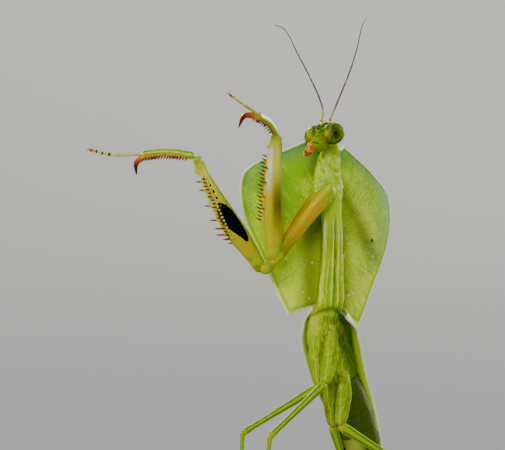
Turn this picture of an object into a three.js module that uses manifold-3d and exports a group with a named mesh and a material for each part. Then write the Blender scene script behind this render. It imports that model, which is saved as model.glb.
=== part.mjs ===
// A leaf mantis (hooded praying mantis), adult, life size, standing head up with both
// grasping forelegs raised.  Millimetres, +Z up, belly side towards -Y, origin under the
// middle of the animal at floor level.  "Left" and "right" are the animal's own.
import * as THREE from 'three';
import { mergeVertices } from 'three/addons/utils/BufferGeometryUtils.js';
import Module from 'manifold-3d';

// ---- driving sizes ----------------------------------------------------------------
const SHELL = 0.56;           // thickness of the shield and the fore wings
const GAP = 0.12;             // clearance between neighbouring shell plates
const SHIELD_CAMBER = 0.015;  // how fast the shield's margins bend towards the back, per mm
const SHIELD_REAR = -14.5;    // hindmost reach of the shield's two rear lobes
const SHIELD_FRONT = 13.1;    // foremost reach of its two front corners
const EYE = [1.3, 1.3, 1.55]; // half width, half depth, half height of an eye
const EYE_SPREAD = 2.25;      // eye centre from the middle of the face
const FEELER = 0.27;          // half thickness of a feeler
const FLOOR = 0;              // level the feet stand on
const SOLE = 0.24;            // height of a foot's middle line over its flat sole
const WING_HALF = 4.35;       // fore wing reach to the side of the body
const WING_RISE = 3.3;        // fore wing height over the middle of the body
const ABDOMEN_RINGS = 8;
const SHIFT = [3.995, -2.81, 0];  // brings the box's middle over the origin

const lime = 0x9cc832, leaf = 0x86c05a, moss = 0x5c7a1c, ochre = 0xc99a34;
const straw = 0xd0c040, amber = 0xc0561e, dusk = 0x6b5a48, olive = 0x54691a;

// ---- small helpers ----------------------------------------------------------------
const at = (x, y, z) => new THREE.Vector3(x, y, z);
const mix = (a, b, t) => a + (b - a) * t;
const clamp = (x, a = 0, b = 1) => Math.min(b, Math.max(a, x));
const ease = (a, b, x) => { const t = clamp((x - a) / (b - a)); return t * t * (3 - 2 * t); };
const dir = (x, y, z) => at(x, y, z).normalize();
const along = (o, ...terms) => terms.reduce((p, [d, k]) => p.addScaledVector(d, k), o.clone());

// value read from a few named stations [t, value], eased from one to the next
const profile = stations => t => {
  let k = 0;
  while (k < stations.length - 2 && t > stations[k + 1][0]) k += 1;
  const [[ta, va], [tb, vb]] = [stations[k], stations[k + 1]];
  const f = clamp((t - ta) / (tb - ta));
  return mix(va, vb, 0.5 * f + 0.5 * f * f * (3 - 2 * f));
};

const { Manifold, Mesh } = await Module().then(m => { m.setup(); return m; });

// closed solid from a three.js geometry whose vertices have been moved by "place"
function solid(geometry, place) {
  const g = geometry.clone();
  const pos = g.attributes.position, p = at(0, 0, 0);
  for (let i = 0; i < pos.count; i += 1) {
    p.fromBufferAttribute(pos, i);
    const q = place(p.clone(), i);
    pos.setXYZ(i, q.x, q.y, q.z);
  }
  g.deleteAttribute('normal');
  g.deleteAttribute('uv');
  const m = mergeVertices(g, 1e-4);
  const body = new Manifold(new Mesh({
    numProp: 3, vertProperties: new Float32Array(m.attributes.position.array),
    triVerts: new Uint32Array(m.index.array),
  }));
  return body.volume() < 0 ? fromFlipped(m) : body;
}
function fromFlipped(m) {
  const tris = new Uint32Array(m.index.array);
  for (let i = 0; i < tris.length; i += 3) [tris[i], tris[i + 1]] = [tris[i + 1], tris[i]];
  return new Manifold(new Mesh({
    numProp: 3, vertProperties: new Float32Array(m.attributes.position.array), triVerts: tris,
  }));
}

// rounded body along a curve: half sizes "wide" (sideways) and "deep" (towards "hint")
function limb(path, { wide, deep = wide, hint = at(0, -1, 0), sides = 8, rings = 8, round = 1 }, grow = 0) {
  const curve = path.length ? new THREE.CatmullRomCurve3(path, false, 'centripetal') : path;
  const length = curve.getLength();
  const g = new THREE.SphereGeometry(1, sides, rings);
  return solid(g, (p, i) => {
    const row = Math.floor(i / (sides + 1)), turn = -2 * Math.PI * ((i % (sides + 1)) % sides) / sides;
    const t = 0.5 - 0.5 * Math.cos(Math.PI * row / rings);
    const T = curve.getTangentAt(t), c = curve.getPointAt(t);
    const B = hint.clone().addScaledVector(T, -hint.dot(T)).normalize(), S = B.clone().cross(T);
    const end = Math.max(0.02, round * wide(t < 0.5 ? 0 : 1) / length);
    const near = Math.min(t, 1 - t) / end, cap = near >= 1 ? 1 : Math.sqrt(1 - (1 - near) ** 2);
    const endwise = (2 * t - 1) * grow * (1 - Math.min(1, near));
    const w = row % rings === 0 ? 0 : cap * wide(t) + grow, d = row % rings === 0 ? 0 : cap * deep(t) + grow;
    return along(c, [S, w * Math.cos(turn)], [B, d * Math.sin(turn)], [T, endwise + (2 * (t > 0.5) - 1) * (row % rings === 0 ? grow : 0)]);
  });
}

// thin shell plate over a surface "spot(s, q)", s and q running 0..1, its thickness square to it
function plate(spot, thick, nx, ny, grow = 0) {
  const g = new THREE.BoxGeometry(1, 1, 1, nx, ny, 1), e = 1e-3;
  return solid(g, p => {
    const s = p.x + 0.5, q = p.y + 0.5;
    const c = spot(s, q);
    const ds = spot(clamp(s + e), q).sub(spot(clamp(s - e), q));
    const dq = spot(s, clamp(q + e)).sub(spot(s, clamp(q - e)));
    const n = ds.clone().cross(dq).normalize();
    ds.normalize(); dq.normalize();
    return along(c, [n, p.z * (thick + 2 * grow)], [ds, 2 * grow * p.x * (Math.abs(p.x) > 0.499)],
      [dq, 2 * grow * p.y * (Math.abs(p.y) > 0.499)]);
  });
}

// one pointed spine from "root" to "tip", joined to whatever it stands on
function spine(root, tip, r = 0.28, sides = 3) {
  const axis = tip.clone().sub(root), up = at(0, 1, 0);
  const turn = new THREE.Quaternion().setFromUnitVectors(up, axis.clone().normalize());
  const g = new THREE.ConeGeometry(r, axis.length(), sides, 1);
  return solid(g, p => p.add(at(0, axis.length() / 2, 0)).applyQuaternion(turn).add(root));
}
const largest = m => m.decompose().reduce((a, b) => (Math.abs(a.volume()) > Math.abs(b.volume()) ? a : b));

// ---- the parts --------------------------------------------------------------------
// each entry: name, colour, roughness, shape(grow) and the neighbours it keeps clear of
const parts = [];
const add = (name, colour, shape, clear = [], rough = 0.45, finish = m => m) =>
  parts.push({ name, colour, shape, clear, rough, finish });

// shield frame: centre, towards the animal's left, towards the head, out of the belly
const SHIELD_AT = at(-0.38, 0, 49.5);
const LEFT = dir(0.847, 0.512, -0.141), HEADWARD = dir(0.009, 0.252, 0.968), BELLY = LEFT.clone().cross(HEADWARD);
const onShield = (u, w, v) => along(SHIELD_AT, [LEFT, u], [HEADWARD, w], [BELLY, v]);

const shieldHalf = profile([[-14.5, 6.2], [-12, 7.6], [-8, 9.35], [-4, 11.3], [-1, 12.6], [2, 13.3],
  [4.5, 13.55], [6.5, 13.25], [8, 12.15], [9.4, 9.95], [11, 7.0], [13.1, 3.15]]);
function shieldSpot(s, q) {
  const side = 2 * s - 1, w = mix(SHIELD_REAR, SHIELD_FRONT, q);
  const u = side * shieldHalf(w), power = mix(1.3, 5, q);
  const middle = mix(-12.1, 12.0, q);
  return onShield(u, mix(middle, w, Math.abs(side) ** power), -SHIELD_CAMBER * u * u);
}
add('pronotum_shield', leaf, g => plate(shieldSpot, SHELL, 14, 17, g), [], 0.35);

// front body tube under the shield, widened where the forelegs are hung
const tube = w => along(SHIELD_AT, [HEADWARD, w], [BELLY, 1.5 + 0.25 * ease(3, 7, w)],
  [LEFT, -0.4 * ease(3, 6, w) * ease(12.5, 10, w) - 0.35 * ease(-8, -12, w)]);
add('prothorax', lime, g => limb([12.0, 9, 5.5, 1, -5, -9, -12.8].map(tube), {
  wide: profile([[0, 1.3], [0.12, 1.95], [0.26, 2.25], [0.4, 1.6], [0.5, 1.35], [0.7, 1.55], [0.88, 2.1], [1, 2.3]]),
  deep: profile([[0, 1.15], [0.28, 1.5], [0.45, 1.25], [0.8, 1.35], [1, 1.3]]),
  hint: BELLY, sides: 10, rings: 11, round: 0.6 }, g), ['pronotum_shield']);

// head frame: towards its left, out of the face, up to the crown
const HEAD_AT = at(-0.55, -0.45, 63.5);
const HEAD_LEFT = dir(0.721, -0.691, -0.052);
const CROWN = dir(0.403, 0.358, 0.839), FACE = HEAD_LEFT.clone().cross(CROWN);
const onHead = (a, b, c) => along(HEAD_AT, [HEAD_LEFT, a], [FACE, b], [CROWN, c]);
const ball = (c, r, sides, rings, g = 0) => solid(new THREE.SphereGeometry(1, sides, rings),
  p => onHead(c[0] + p.x * (r[0] + g), c[1] + p.z * (r[1] + g), c[2] + p.y * (r[2] + g)));

add('neck', lime, g => limb([along(HEAD_AT, [FACE, -0.95], [CROWN, -0.3]), at(0.35, 1.6, 62.1), tube(11.4)],
  { wide: () => 1.12, sides: 8, rings: 6 }, g), ['pronotum_shield', 'prothorax', 'head']);

add('head', moss, g => solid(new THREE.SphereGeometry(1, 12, 10), p => {
  const low = clamp(-p.y), wide = mix(1, 0.62, ease(0, 1, low)) * (1 + 0.1 * low);
  return onHead(p.x * (2.0 * wide + g), p.z * ((p.z > 0 ? 1.0 : 1.25) * (1 - 0.12 * low) + g) + 0.3 * low,
    p.y * ((p.y > 0 ? 1.72 : 3.2) + g));
}), ['eye_left', 'eye_right'], 0.4);
for (const [name, side] of [['left', 1], ['right', -1]])
  add(`eye_${name}`, olive, g => ball([side * EYE_SPREAD, 0.05, 0.02], EYE, 10, 8, g), [], 0.2);

// upper lip, the two jaws and a pair of short jointed palps
add('mouthparts', amber, g => {
  const lip = ball([0, 1.0, -3.05], [0.66 + g, 0.42 + g, 0.85 + g], 6, 5);
  const jaws = [1, -1].map(k => ball([0.38 * k, 0.62, -3.4], [0.5 + g, 0.6 + g, 0.85 + g], 6, 4));
  const palps = [1, -1].map(k => limb([onHead(0.6 * k, 0.35, -3.1), onHead(0.85 * k, 0.75, -3.9),
    onHead(0.5 * k, 1.05, -4.55)], { wide: () => 0.27, sides: 5, rings: 4 }, g));
  return [...jaws, ...palps].reduce((a, b) => a.add(b), lip);
}, ['head'], 0.3);

const feelers = {
  left: [onHead(0.75, 0.55, 1.35), at(0.62, -1.2, 66.3), at(1.8, -1.6, 69.15), at(3.15, -2.1, 72.5),
    at(4.2, -2.6, 75.8), at(5.2, -3.1, 79.8), at(6.1, -3.3, 81.1)],
  right: [onHead(-0.75, 0.55, 1.35), at(-0.72, -0.5, 66.7), at(-1.35, -0.8, 68.9), at(-2.6, -1.2, 71.6),
    at(-4.5, -1.8, 75.2), at(-6.55, -2.4, 78.95), at(-8.2, -2.8, 79.65)],
};
for (const [name, path] of Object.entries(feelers))
  add(`antenna_${name}`, dusk, g => limb(path, { wide: profile([[0, 0.36], [0.06, 0.3], [0.12, FEELER], [1, 0.25]]),
    sides: 5, rings: 14 }, g), ['head', 'eye_left', 'eye_right'], 0.6);

// trunk: middle and hind body rings, then the abdomen, all along one line
const TRUNK = new THREE.CatmullRomCurve3([at(0.2, -4.3, 38.6), at(-0.35, -2.7, 34.8), at(1.1, 0.5, 28.0),
  at(3.75, 5.0, 21.0), at(6.1, 9.8, 12.6), at(8.0, 14.2, 4.9)], false, 'centripetal');
const TRUNK_BELLY = dir(0.33, -0.94, 0);
const bellyAt = t => { const T = TRUNK.getTangentAt(t); return TRUNK_BELLY.clone().addScaledVector(T, -TRUNK_BELLY.dot(T)).normalize(); };
const between = (a, b, n = 4) => Array.from({ length: n }, (_, i) => TRUNK.getPointAt(mix(a, b, i / (n - 1))));
const ring = (a, b, wide, deep, sides, rings, g) => limb(between(a, b),
  { wide, deep, hint: bellyAt((a + b) / 2), sides, rings, round: 0.45 }, g);
add('mesothorax', lime, g => ring(0.02, 0.205, profile([[0, 1.9], [0.35, 2.75], [0.7, 2.9], [1, 2.6]]),
  profile([[0, 1.4], [0.4, 2.0], [1, 2.1]]), 10, 7, g), ['pronotum_shield', 'prothorax']);
add('metathorax', lime, g => ring(0.2, 0.345, profile([[0, 2.6], [0.5, 2.9], [1, 2.7]]),
  profile([[0, 2.1], [0.5, 2.2], [1, 1.9]]), 10, 6, g), ['mesothorax']);
const abdomenHalf = profile([[0.33, 2.6], [0.45, 3.1], [0.62, 3.3], [0.78, 2.7], [0.92, 1.7], [1, 1.0]]);
const ringEdge = k => mix(0.345, 1, (k / ABDOMEN_RINGS) ** 0.97);
for (let k = 0; k < ABDOMEN_RINGS; k += 1) {
  const a = ringEdge(k) - (k ? 0.012 : 0), b = ringEdge(k + 1);
  const flare = t => abdomenHalf(mix(a, b, t)) + 0.12 * t;
  add(`abdomen_ring_${k + 1}`, olive, g => ring(a, b, flare, t => 0.6 * flare(t) + 0.1, 10, 5, g),
    [k ? `abdomen_ring_${k}` : 'metathorax']);
}
for (const [name, side] of [['left', 1], ['right', -1]]) {
  const T = TRUNK.getTangentAt(1), B = bellyAt(1), S = B.clone().cross(T).multiplyScalar(side);
  const root = along(TRUNK.getPointAt(0.965), [S, 0.75], [B, -0.1]);
  add(`cercus_${name}`, lime, g => limb([root, along(root, [S, 0.9], [T, 1.3]), along(root, [S, 1.35], [T, 2.6], [B, -0.3])],
    { wide: profile([[0, 0.34], [0.6, 0.34], [1, 0.25]]), sides: 6, rings: 6 }, g), ['abdomen_ring_8', 'abdomen_ring_7']);
}

// fore wings: leaf-like covers folded over the back, the left lying on the right
const wingReach = profile([[0, 0.6], [0.05, 0.9], [0.12, 1.05], [0.25, 1.0], [0.45, 0.88], [0.75, 0.72], [0.92, 0.5], [1, 0.22]]);
const lowEdge = profile([[0, -0.8], [0.12, -0.5], [0.3, -0.25], [0.6, -0.1], [1, 0.1]]);
const WING_LINE = 0.045;
function wingSpot(side, s, q) {
  const t = mix(WING_LINE, 1, s * 0.985), over = side > 0 ? 1 : -1;
  const c = TRUNK.getPointAt(t), T = TRUNK.getTangentAt(t), B = bellyAt(t), S = B.clone().cross(T);
  const past = along(at(0, 0, 0), [T, 1.4 * ease(0.85, 1, s)], [S, 0.35 * (1 - ease(0.3, 0.7, s))]);
  const top = mix(1.05, Math.PI / 2 + 0.22 * (1 - s), ease(0, 0.14, s));
  const turn = mix(lowEdge(s), top, q), lie = ease(0.5, 1.15, turn) * over * 0.4;
  const reach = wingReach(s);
  return along(c.add(past), [S, side * WING_HALF * reach * Math.cos(turn)],
    [B, -(WING_RISE * (0.35 + 0.65 * reach) + lie) * Math.sin(turn)]);
}
for (const [name, side] of [['left', 1], ['right', -1]])
  add(`tegmen_${name}`, leaf, g => plate((s, q) => wingSpot(side, s, q), 0.5, 13, 5, g),
    ['pronotum_shield', 'mesothorax', 'metathorax', 'cercus_left', 'cercus_right',
      ...Array.from({ length: ABDOMEN_RINGS }, (_, k) => `abdomen_ring_${k + 1}`)], 0.4);

// ---- grasping forelegs ------------------------------------------------------------
const graspers = {
  left: { hip: at(1.1, -2.3, 55.0), elbow: at(-8.2, -9.9, 44.3), root: at(-8.2, -9.8, 45.4),
    knee: at(-7.85, -8.2, 63.3), wrist: at(-10.6, -15.4, 65.8), claw: at(-13.4, -17.6, 63.8),
    toe: at(-14.9, -19.6, 68.85), lift: 0.12, sag: 0, bow: 0.2,
    under: dir(-1, -0.35, 0.1), arch: dir(-0.2, 0.25, 1) },
  right: { hip: at(-1.9, -2.5, 54.8), elbow: at(-9.2, -7.5, 43.3), root: at(-10.75, -7.6, 44.4),
    knee: at(-19.75, -9.2, 59.9), wrist: at(-27.6, -9.7, 60.2), claw: at(-28.45, -9.9, 57.05),
    toe: at(-35.8, -9.9, 60.85), lift: -0.05, sag: -0.45, bow: 0.6,
    under: dir(-0.88, -0.2, -0.42), arch: dir(0.1, 0.1, 1) },
};
for (const [name, f] of Object.entries(graspers)) {
  const coxa = `fore_coxa_${name}`, joint = `fore_trochanter_${name}`, thigh = `fore_femur_${name}`;
  const shin = `fore_tibia_${name}`, foot = `fore_tarsus_${name}`;
  const thighAxis = f.knee.clone().sub(f.root).normalize(), shinAxis = f.wrist.clone().sub(f.knee).normalize();
  const under = f.under.clone().addScaledVector(thighAxis, -f.under.dot(thighAxis)).normalize();
  const across = thighAxis.clone().cross(under).normalize();
  const thighFrom = f.root;
  const coxaEnd = f.elbow.clone().lerp(f.hip, 0.1);
  add(coxa, ochre, g => limb([f.hip, f.hip.clone().lerp(coxaEnd, 0.5), coxaEnd], {
    wide: profile([[0, 0.95], [0.2, 1.2], [0.6, 1.1], [0.9, 0.85], [1, 0.85]]), sides: 8, rings: 8 }, g),
  ['prothorax', 'pronotum_shield', ...(name === 'right' ? ['fore_coxa_left'] : [])]);
  const bend = f.root.clone().sub(f.elbow).normalize();
  add(joint, straw, g => limb([along(f.elbow, [bend, -0.6]), f.elbow.clone().lerp(f.root, 0.6), along(f.root, [thighAxis, 0.4])],
    { wide: () => 1.1, sides: 8, rings: 6 }, g), [coxa]);
  // thigh: deep towards the spines, two rows of them plus four long ones
  const thighLength = f.knee.distanceTo(thighFrom);
  const depth = profile([[0, 1.05], [0.25, 1.5], [0.55, 1.3], [0.8, 1.0], [0.92, 1.02], [1, 0.75]]);
  add(thigh, straw, g => {
    let m = limb([thighFrom, along(thighFrom, [thighAxis, thighLength / 2], [under, f.bow]), f.knee],
      { wide: depth, deep: t => 0.72 * depth(t), hint: across, sides: 8, rings: 10 }, g);
    if (g) return m;
    for (let k = 0; k < 11; k += 1) {
      const t = mix(0.3, 0.8, k / 10), root = along(thighFrom, [thighAxis, thighLength * t], [across, -0.32]);
      m = m.add(spine(along(root, [under, 0.5]), along(root, [under, depth(t) + (k % 2 ? 0.55 : 1.0)], [thighAxis, 0.2]), 0.3));
    }
    for (let k = 0; k < 4; k += 1) {
      const t = mix(0.34, 0.74, k / 3), root = along(thighFrom, [thighAxis, thighLength * t], [across, 0.35]);
      m = m.add(spine(along(root, [under, 0.5]), along(root, [under, depth(t) + 2.0], [across, 0.5], [thighAxis, 0.25]), 0.3));
    }
    return m;
  }, [joint, coxa]);
  // shin: arched above, a comb of spines below, ending in the large hooked claw
  const shinLength = f.wrist.distanceTo(f.knee), arch = f.arch.clone().addScaledVector(shinAxis, -f.arch.dot(shinAxis)).normalize();
  const shinSide = shinAxis.clone().cross(arch), from = along(f.knee, [shinAxis, 0.1]);
  add(shin, straw, g => {
    let m = limb([from, along(f.knee, [shinAxis, shinLength * 0.5], [arch, 0.4]), f.wrist],
      { wide: profile([[0, 0.55], [0.3, 0.6], [0.8, 0.55], [1, 0.5]]), hint: arch, sides: 6, rings: 7 }, g);
    const hook = limb([along(f.wrist, [shinAxis, -0.5], [arch, -0.1]), f.wrist.clone().lerp(f.claw, 0.45).addScaledVector(shinAxis, 0.25), f.claw],
      { wide: profile([[0, 0.5], [0.5, 0.36], [1, 0.14]]), sides: 5, rings: 7 }, g);
    m = m.add(hook);
    if (g) return m;
    for (let k = 0; k < 6; k += 1) for (const row of [-1, 1]) {
      const t = mix(0.18, 0.85, (k + (row > 0 ? 0.5 : 0)) / 5.5);
      const root = along(f.knee, [shinAxis, shinLength * t], [shinSide, 0.26 * row], [arch, 0.2 * Math.sin(Math.PI * t)]);
      m = m.add(spine(root, along(root, [arch, -mix(0.85, 1.35, t)], [shinAxis, 0.4], [shinSide, 0.18 * row]), 0.28));
    }
    return m;
  }, [thigh]);
  const tread = f.toe.clone().sub(f.wrist);
  const footStart = along(f.wrist, [arch, f.lift], [tread.clone().normalize(), -0.1]);
  add(foot, straw, g => limb([footStart, footStart.clone().lerp(f.toe, 0.5).add(at(0, 0, f.sag)), f.toe], {
    wide: t => (0.28 + 0.03 * Math.cos(2 * Math.PI * 5 * t)) * mix(1.05, 0.95, t), sides: 5, rings: 12 }, g), [shin]);
}

// ---- walking legs -----------------------------------------------------------------
const walkers = {
  mid_right: { hip: at(-2.0, -3.9, 32.6), elbow: at(-1.5, -5.0, 25.7), knee: at(-12.8, 2.6, 18.4),
    ankle: at(-13.4, 5.6, 2.6), toe: at(-18.8, 8.6, 0.3), thick: 0.56 },
  mid_left: { hip: at(1.5, -4.1, 32.4), elbow: at(0.1, -6.6, 26.1), knee: at(-8.75, -14.0, 18.75),
    ankle: at(-10.4, -15.6, 2.6), toe: at(-12.6, -21.4, 0.3), thick: 0.52 },
  hind_right: { hip: at(0.2, -2.2, 27.6), elbow: at(0.7, 0.9, 19.5), knee: at(5.1, 8.6, 4.9),
    ankle: at(-5.2, 21.6, 1.9), toe: at(-9.8, 27.0, 0.3), thick: 0.54 },
  hind_left: { hip: at(2.7, -2.4, 27.8), elbow: at(1.75, -1.3, 19.7), knee: at(15.8, 2.8, 10.7),
    ankle: at(23.4, 16.4, 1.9), toe: at(27.0, 22.4, 0.3), thick: 0.66 },
};
const bodyRings = ['mesothorax', 'metathorax', 'abdomen_ring_1', 'abdomen_ring_2', 'abdomen_ring_3'];
for (const [name, w] of Object.entries(walkers)) {
  const coxa = `${name}_coxa`, thigh = `${name}_femur`, shin = `${name}_tibia`, foot = `${name}_tarsus`;
  const out = w.knee.clone().sub(w.elbow).normalize(), down = w.ankle.clone().sub(w.knee).normalize();
  const others = parts.map(p => p.name).filter(n => n.endsWith('_coxa'));
  add(coxa, lime, g => limb([w.hip, w.hip.clone().lerp(w.elbow, 0.5), w.elbow], {
    wide: profile([[0, 1.15], [0.45, 1.05], [1, 0.72]]), sides: 8, rings: 6 }, g),
  [...bodyRings, 'tegmen_left', 'tegmen_right', ...others]);
  const start = along(w.elbow, [out, 0.25]);
  add(thigh, lime, g => limb([start, start.clone().lerp(w.knee, 0.5), w.knee], {
    wide: profile([[0, w.thick + 0.1], [0.2, w.thick], [0.85, 0.42], [0.95, 0.5], [1, 0.5]]), sides: 6, rings: 7 }, g),
  [coxa, ...others, ...parts.map(p => p.name).filter(n => n.endsWith('_femur') && !n.startsWith('fore')),
    'tegmen_left', 'tegmen_right']);
  const shinStart = along(w.knee, [down, -0.15]);
  add(shin, lime, g => limb([shinStart, shinStart.clone().lerp(w.ankle, 0.5), w.ankle], {
    wide: profile([[0, 0.45], [0.15, 0.34], [0.8, 0.3], [1, 0.38]]), sides: 6, rings: 6 }, g), [thigh]);
  // foot: five short joints lying on the floor, a pair of claws at the end
  const lie = w.toe.clone().setZ(0).sub(w.ankle.clone().setZ(0)), ahead = lie.clone().normalize();
  const side = ahead.clone().cross(at(0, 0, 1)), first = along(w.ankle, [down, -0.12]);
  const path = [first, along(w.ankle, [ahead, 1.3], [at(0, 0, 1), -w.ankle.z * 0.62]),
    along(w.ankle.clone().setZ(SOLE), [ahead, 2.8]), w.toe.clone().setZ(SOLE)];
  add(foot, lime, g => {
    let m = limb(path, { wide: t => 0.34 + 0.04 * Math.cos(2 * Math.PI * 5 * t), sides: 5, rings: 8 }, g);
    if (!g) for (const k of [-1, 1]) m = m.add(spine(along(w.toe.clone().setZ(0.3), [ahead, -0.3], [side, 0.1 * k]),
      along(w.toe.clone().setZ(0.26), [ahead, 0.75], [side, 0.5 * k]), 0.26));
    return m;
  }, [shin], 0.45, m => m.subtract(solid(new THREE.BoxGeometry(200, 200, 10), p => p.add(at(0, 0, FLOOR - 5)))));
}

// ---- assembly ---------------------------------------------------------------------
const group = new THREE.Group();
group.name = 'leaf_mantis';
const grown = {};
for (const p of parts) p.body = p.shape(0);
for (const p of parts) {
  let body = p.body;
  for (const other of p.clear) {
    const q = parts.find(o => o.name === other);
    grown[other] ??= q.shape(GAP);
    body = body.subtract(grown[other]);
  }
  p.final = largest(p.finish(body)).translate(SHIFT);
}
for (const p of parts) {
  const raw = p.final.getMesh();
  const g = new THREE.BufferGeometry();
  const verts = new Float32Array(raw.numVert * 3);
  for (let i = 0; i < raw.numVert; i += 1)
    for (let k = 0; k < 3; k += 1) verts[3 * i + k] = raw.vertProperties[i * raw.numProp + k];
  g.setAttribute('position', new THREE.BufferAttribute(verts, 3));
  g.setIndex(new THREE.BufferAttribute(new Uint32Array(raw.triVerts), 1));
  g.computeVertexNormals();
  const mesh = new THREE.Mesh(g, new THREE.MeshStandardMaterial({ color: p.colour, roughness: p.rough, metalness: 0 }));
  mesh.name = p.name;
  group.add(mesh);
}

export default group;
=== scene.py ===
"""Leaf mantis, life size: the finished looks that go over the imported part.

The numbers below are in millimetres, in the frame that the part's source draws in: belly side
towards -Y, the animal's own left roughly towards +X, the floor at z = 0.  SHIFT and MM bring
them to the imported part's metres.
"""

import bpy
import numpy as np
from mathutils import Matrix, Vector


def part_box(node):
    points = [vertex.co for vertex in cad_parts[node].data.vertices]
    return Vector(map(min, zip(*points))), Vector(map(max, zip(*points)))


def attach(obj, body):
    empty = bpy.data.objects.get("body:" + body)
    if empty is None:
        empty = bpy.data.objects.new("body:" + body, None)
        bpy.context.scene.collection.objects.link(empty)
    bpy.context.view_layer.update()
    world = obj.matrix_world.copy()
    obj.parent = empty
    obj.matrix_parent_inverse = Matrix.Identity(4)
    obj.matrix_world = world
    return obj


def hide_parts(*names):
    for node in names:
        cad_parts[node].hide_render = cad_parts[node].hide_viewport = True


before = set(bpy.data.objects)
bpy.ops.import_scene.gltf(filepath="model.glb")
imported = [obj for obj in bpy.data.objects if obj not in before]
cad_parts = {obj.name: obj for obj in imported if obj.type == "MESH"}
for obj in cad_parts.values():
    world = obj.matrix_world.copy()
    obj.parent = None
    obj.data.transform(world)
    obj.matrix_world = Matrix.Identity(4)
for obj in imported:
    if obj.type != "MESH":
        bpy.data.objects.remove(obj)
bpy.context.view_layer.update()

bl_info = {
    "name": "Leaf mantis",
    "version": (1, 0, 0),
    "blender": (4, 5, 0),
    "location": "View3D > Sidebar > Mantis",
    "description": "Builds a life-size leaf mantis round its packed solids",
    "category": "Add Mesh",
}

MM = 0.001
SHIFT = np.array((3.995, -2.81, 0.0))   # from the drawing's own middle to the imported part's
SHOT_DISTANCE = 0.6     # metres from the camera to the plane the animal stands in
SHOT_WIDTH = 0.07575    # width of that plane that the camera takes in
SHOT_PLACE = (-0.00733, -0.60281, 0.049725)
KEEP_TO_CAD = 4.5       # furthest a finished piece may stand out of its solids' box, millimetres


# ---- numbers along a shape ---------------------------------------------------------

def mix(a, b, t):
    """a where t is 0, b where t is 1, in proportion between."""
    return a + (b - a) * t


def ease(a, b, x):
    """Runs smoothly from 0 at a to 1 at b and stays level beyond them."""
    t = np.clip((x - a) / (b - a), 0, 1)
    return t * t * (3 - 2 * t)


def hump(x, middle, width):
    """Bell curve of height 1 round "middle"."""
    return np.exp(-(((x - middle) / width) ** 2))


def unit(v):
    """The same directions at length 1."""
    v = np.asarray(v, float)
    return v / np.maximum(np.linalg.norm(v, axis=-1, keepdims=True), 1e-12)


def across(v, axis):
    """The part of v that is square to axis, at length 1."""
    return unit(v - axis * (v * axis).sum(-1, keepdims=True))


def profile(*stations):
    """Value at any share t, on a smooth cubic through (share, value) stations that never
    overshoots them: each station's slope is the harmonic mean of its neighbours' slopes."""
    x, y = np.array(stations, float).T
    h, d = np.diff(x), np.diff(y) / np.diff(x)
    same = d[:-1] * d[1:] > 0
    middle = np.where(same, 2 * d[:-1] * d[1:] / np.where(same, d[:-1] + d[1:], 1), 0)
    m = np.concatenate((d[:1], middle, d[-1:]))

    def value(t):
        """Cubic between the two stations round t, from their values y and slopes m."""
        k = np.clip(np.searchsorted(x, t, side="right") - 1, 0, len(h) - 1)
        f = np.clip((t - x[k]) / h[k], 0, 1)
        start = y[k] * (1 + 2 * f) * (1 - f) ** 2 + h[k] * m[k] * f * (1 - f) ** 2
        return start + y[k + 1] * f * f * (3 - 2 * f) + h[k] * m[k + 1] * f * f * (f - 1)
    return value


HASH_STEPS = np.array((73856093, 19349663, 83492791))   # primes that tell a lattice's corners apart
HASH_SEED, HASH_SPREAD = 7919, 1274126177
SEED_STEP = 17.31       # moves the lattice on from one seed to the next
RIPPLE_GAIN = 1.7       # brings the faded slopes to about -1 to 1


def ripple(p, size, seed=0):
    """Smooth unevenness from about -1 to 1 at points p, with bumps about "size" wide.  Every
    corner of a lattice has its own slope, whose turn and rise are the two halves of the corner's
    key, and the slopes are faded into one another."""
    q = p / size + SEED_STEP * (seed + 1)
    cell = np.floor(q).astype(np.int64)
    f = q - cell
    fade = f * f * f * (f * (f * 6 - 15) + 10)
    total = 0
    for corner in np.ndindex(2, 2, 2):
        c = cell + corner
        key = (c * HASH_STEPS).sum(-1) + seed * HASH_SEED
        key = ((key ^ (key >> 13)) * HASH_SPREAD) & 0x7FFFFFFF
        turn, rise = (key & 0xFFFF) / 65536 * 2 * np.pi, (key >> 16) / 16384 - 1
        flat = np.sqrt(1 - rise ** 2)
        slope = np.stack((flat * np.cos(turn), flat * np.sin(turn), rise), -1)
        share = np.where(corner, fade, 1 - fade).prod(-1)
        total = total + share * (slope * (f - corner)).sum(-1)
    return total * RIPPLE_GAIN


def creased(p, size, seed=0):
    """Unevenness with sharp winding crests at 1 and furrows down to about -2: one less three
    times "ripple" without its sign."""
    return 1 - 3 * np.abs(ripple(p, size, seed))


def turned(a, middle):
    """How far the angle a is from "middle", from 0 to pi."""
    return np.abs((a - middle + np.pi) % (2 * np.pi) - np.pi)


LINE_STEPS = 80         # points on a line from one given point to the next
HEADING_STEP = 4e-3     # share of a line on either side of a point that gives its heading


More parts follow.
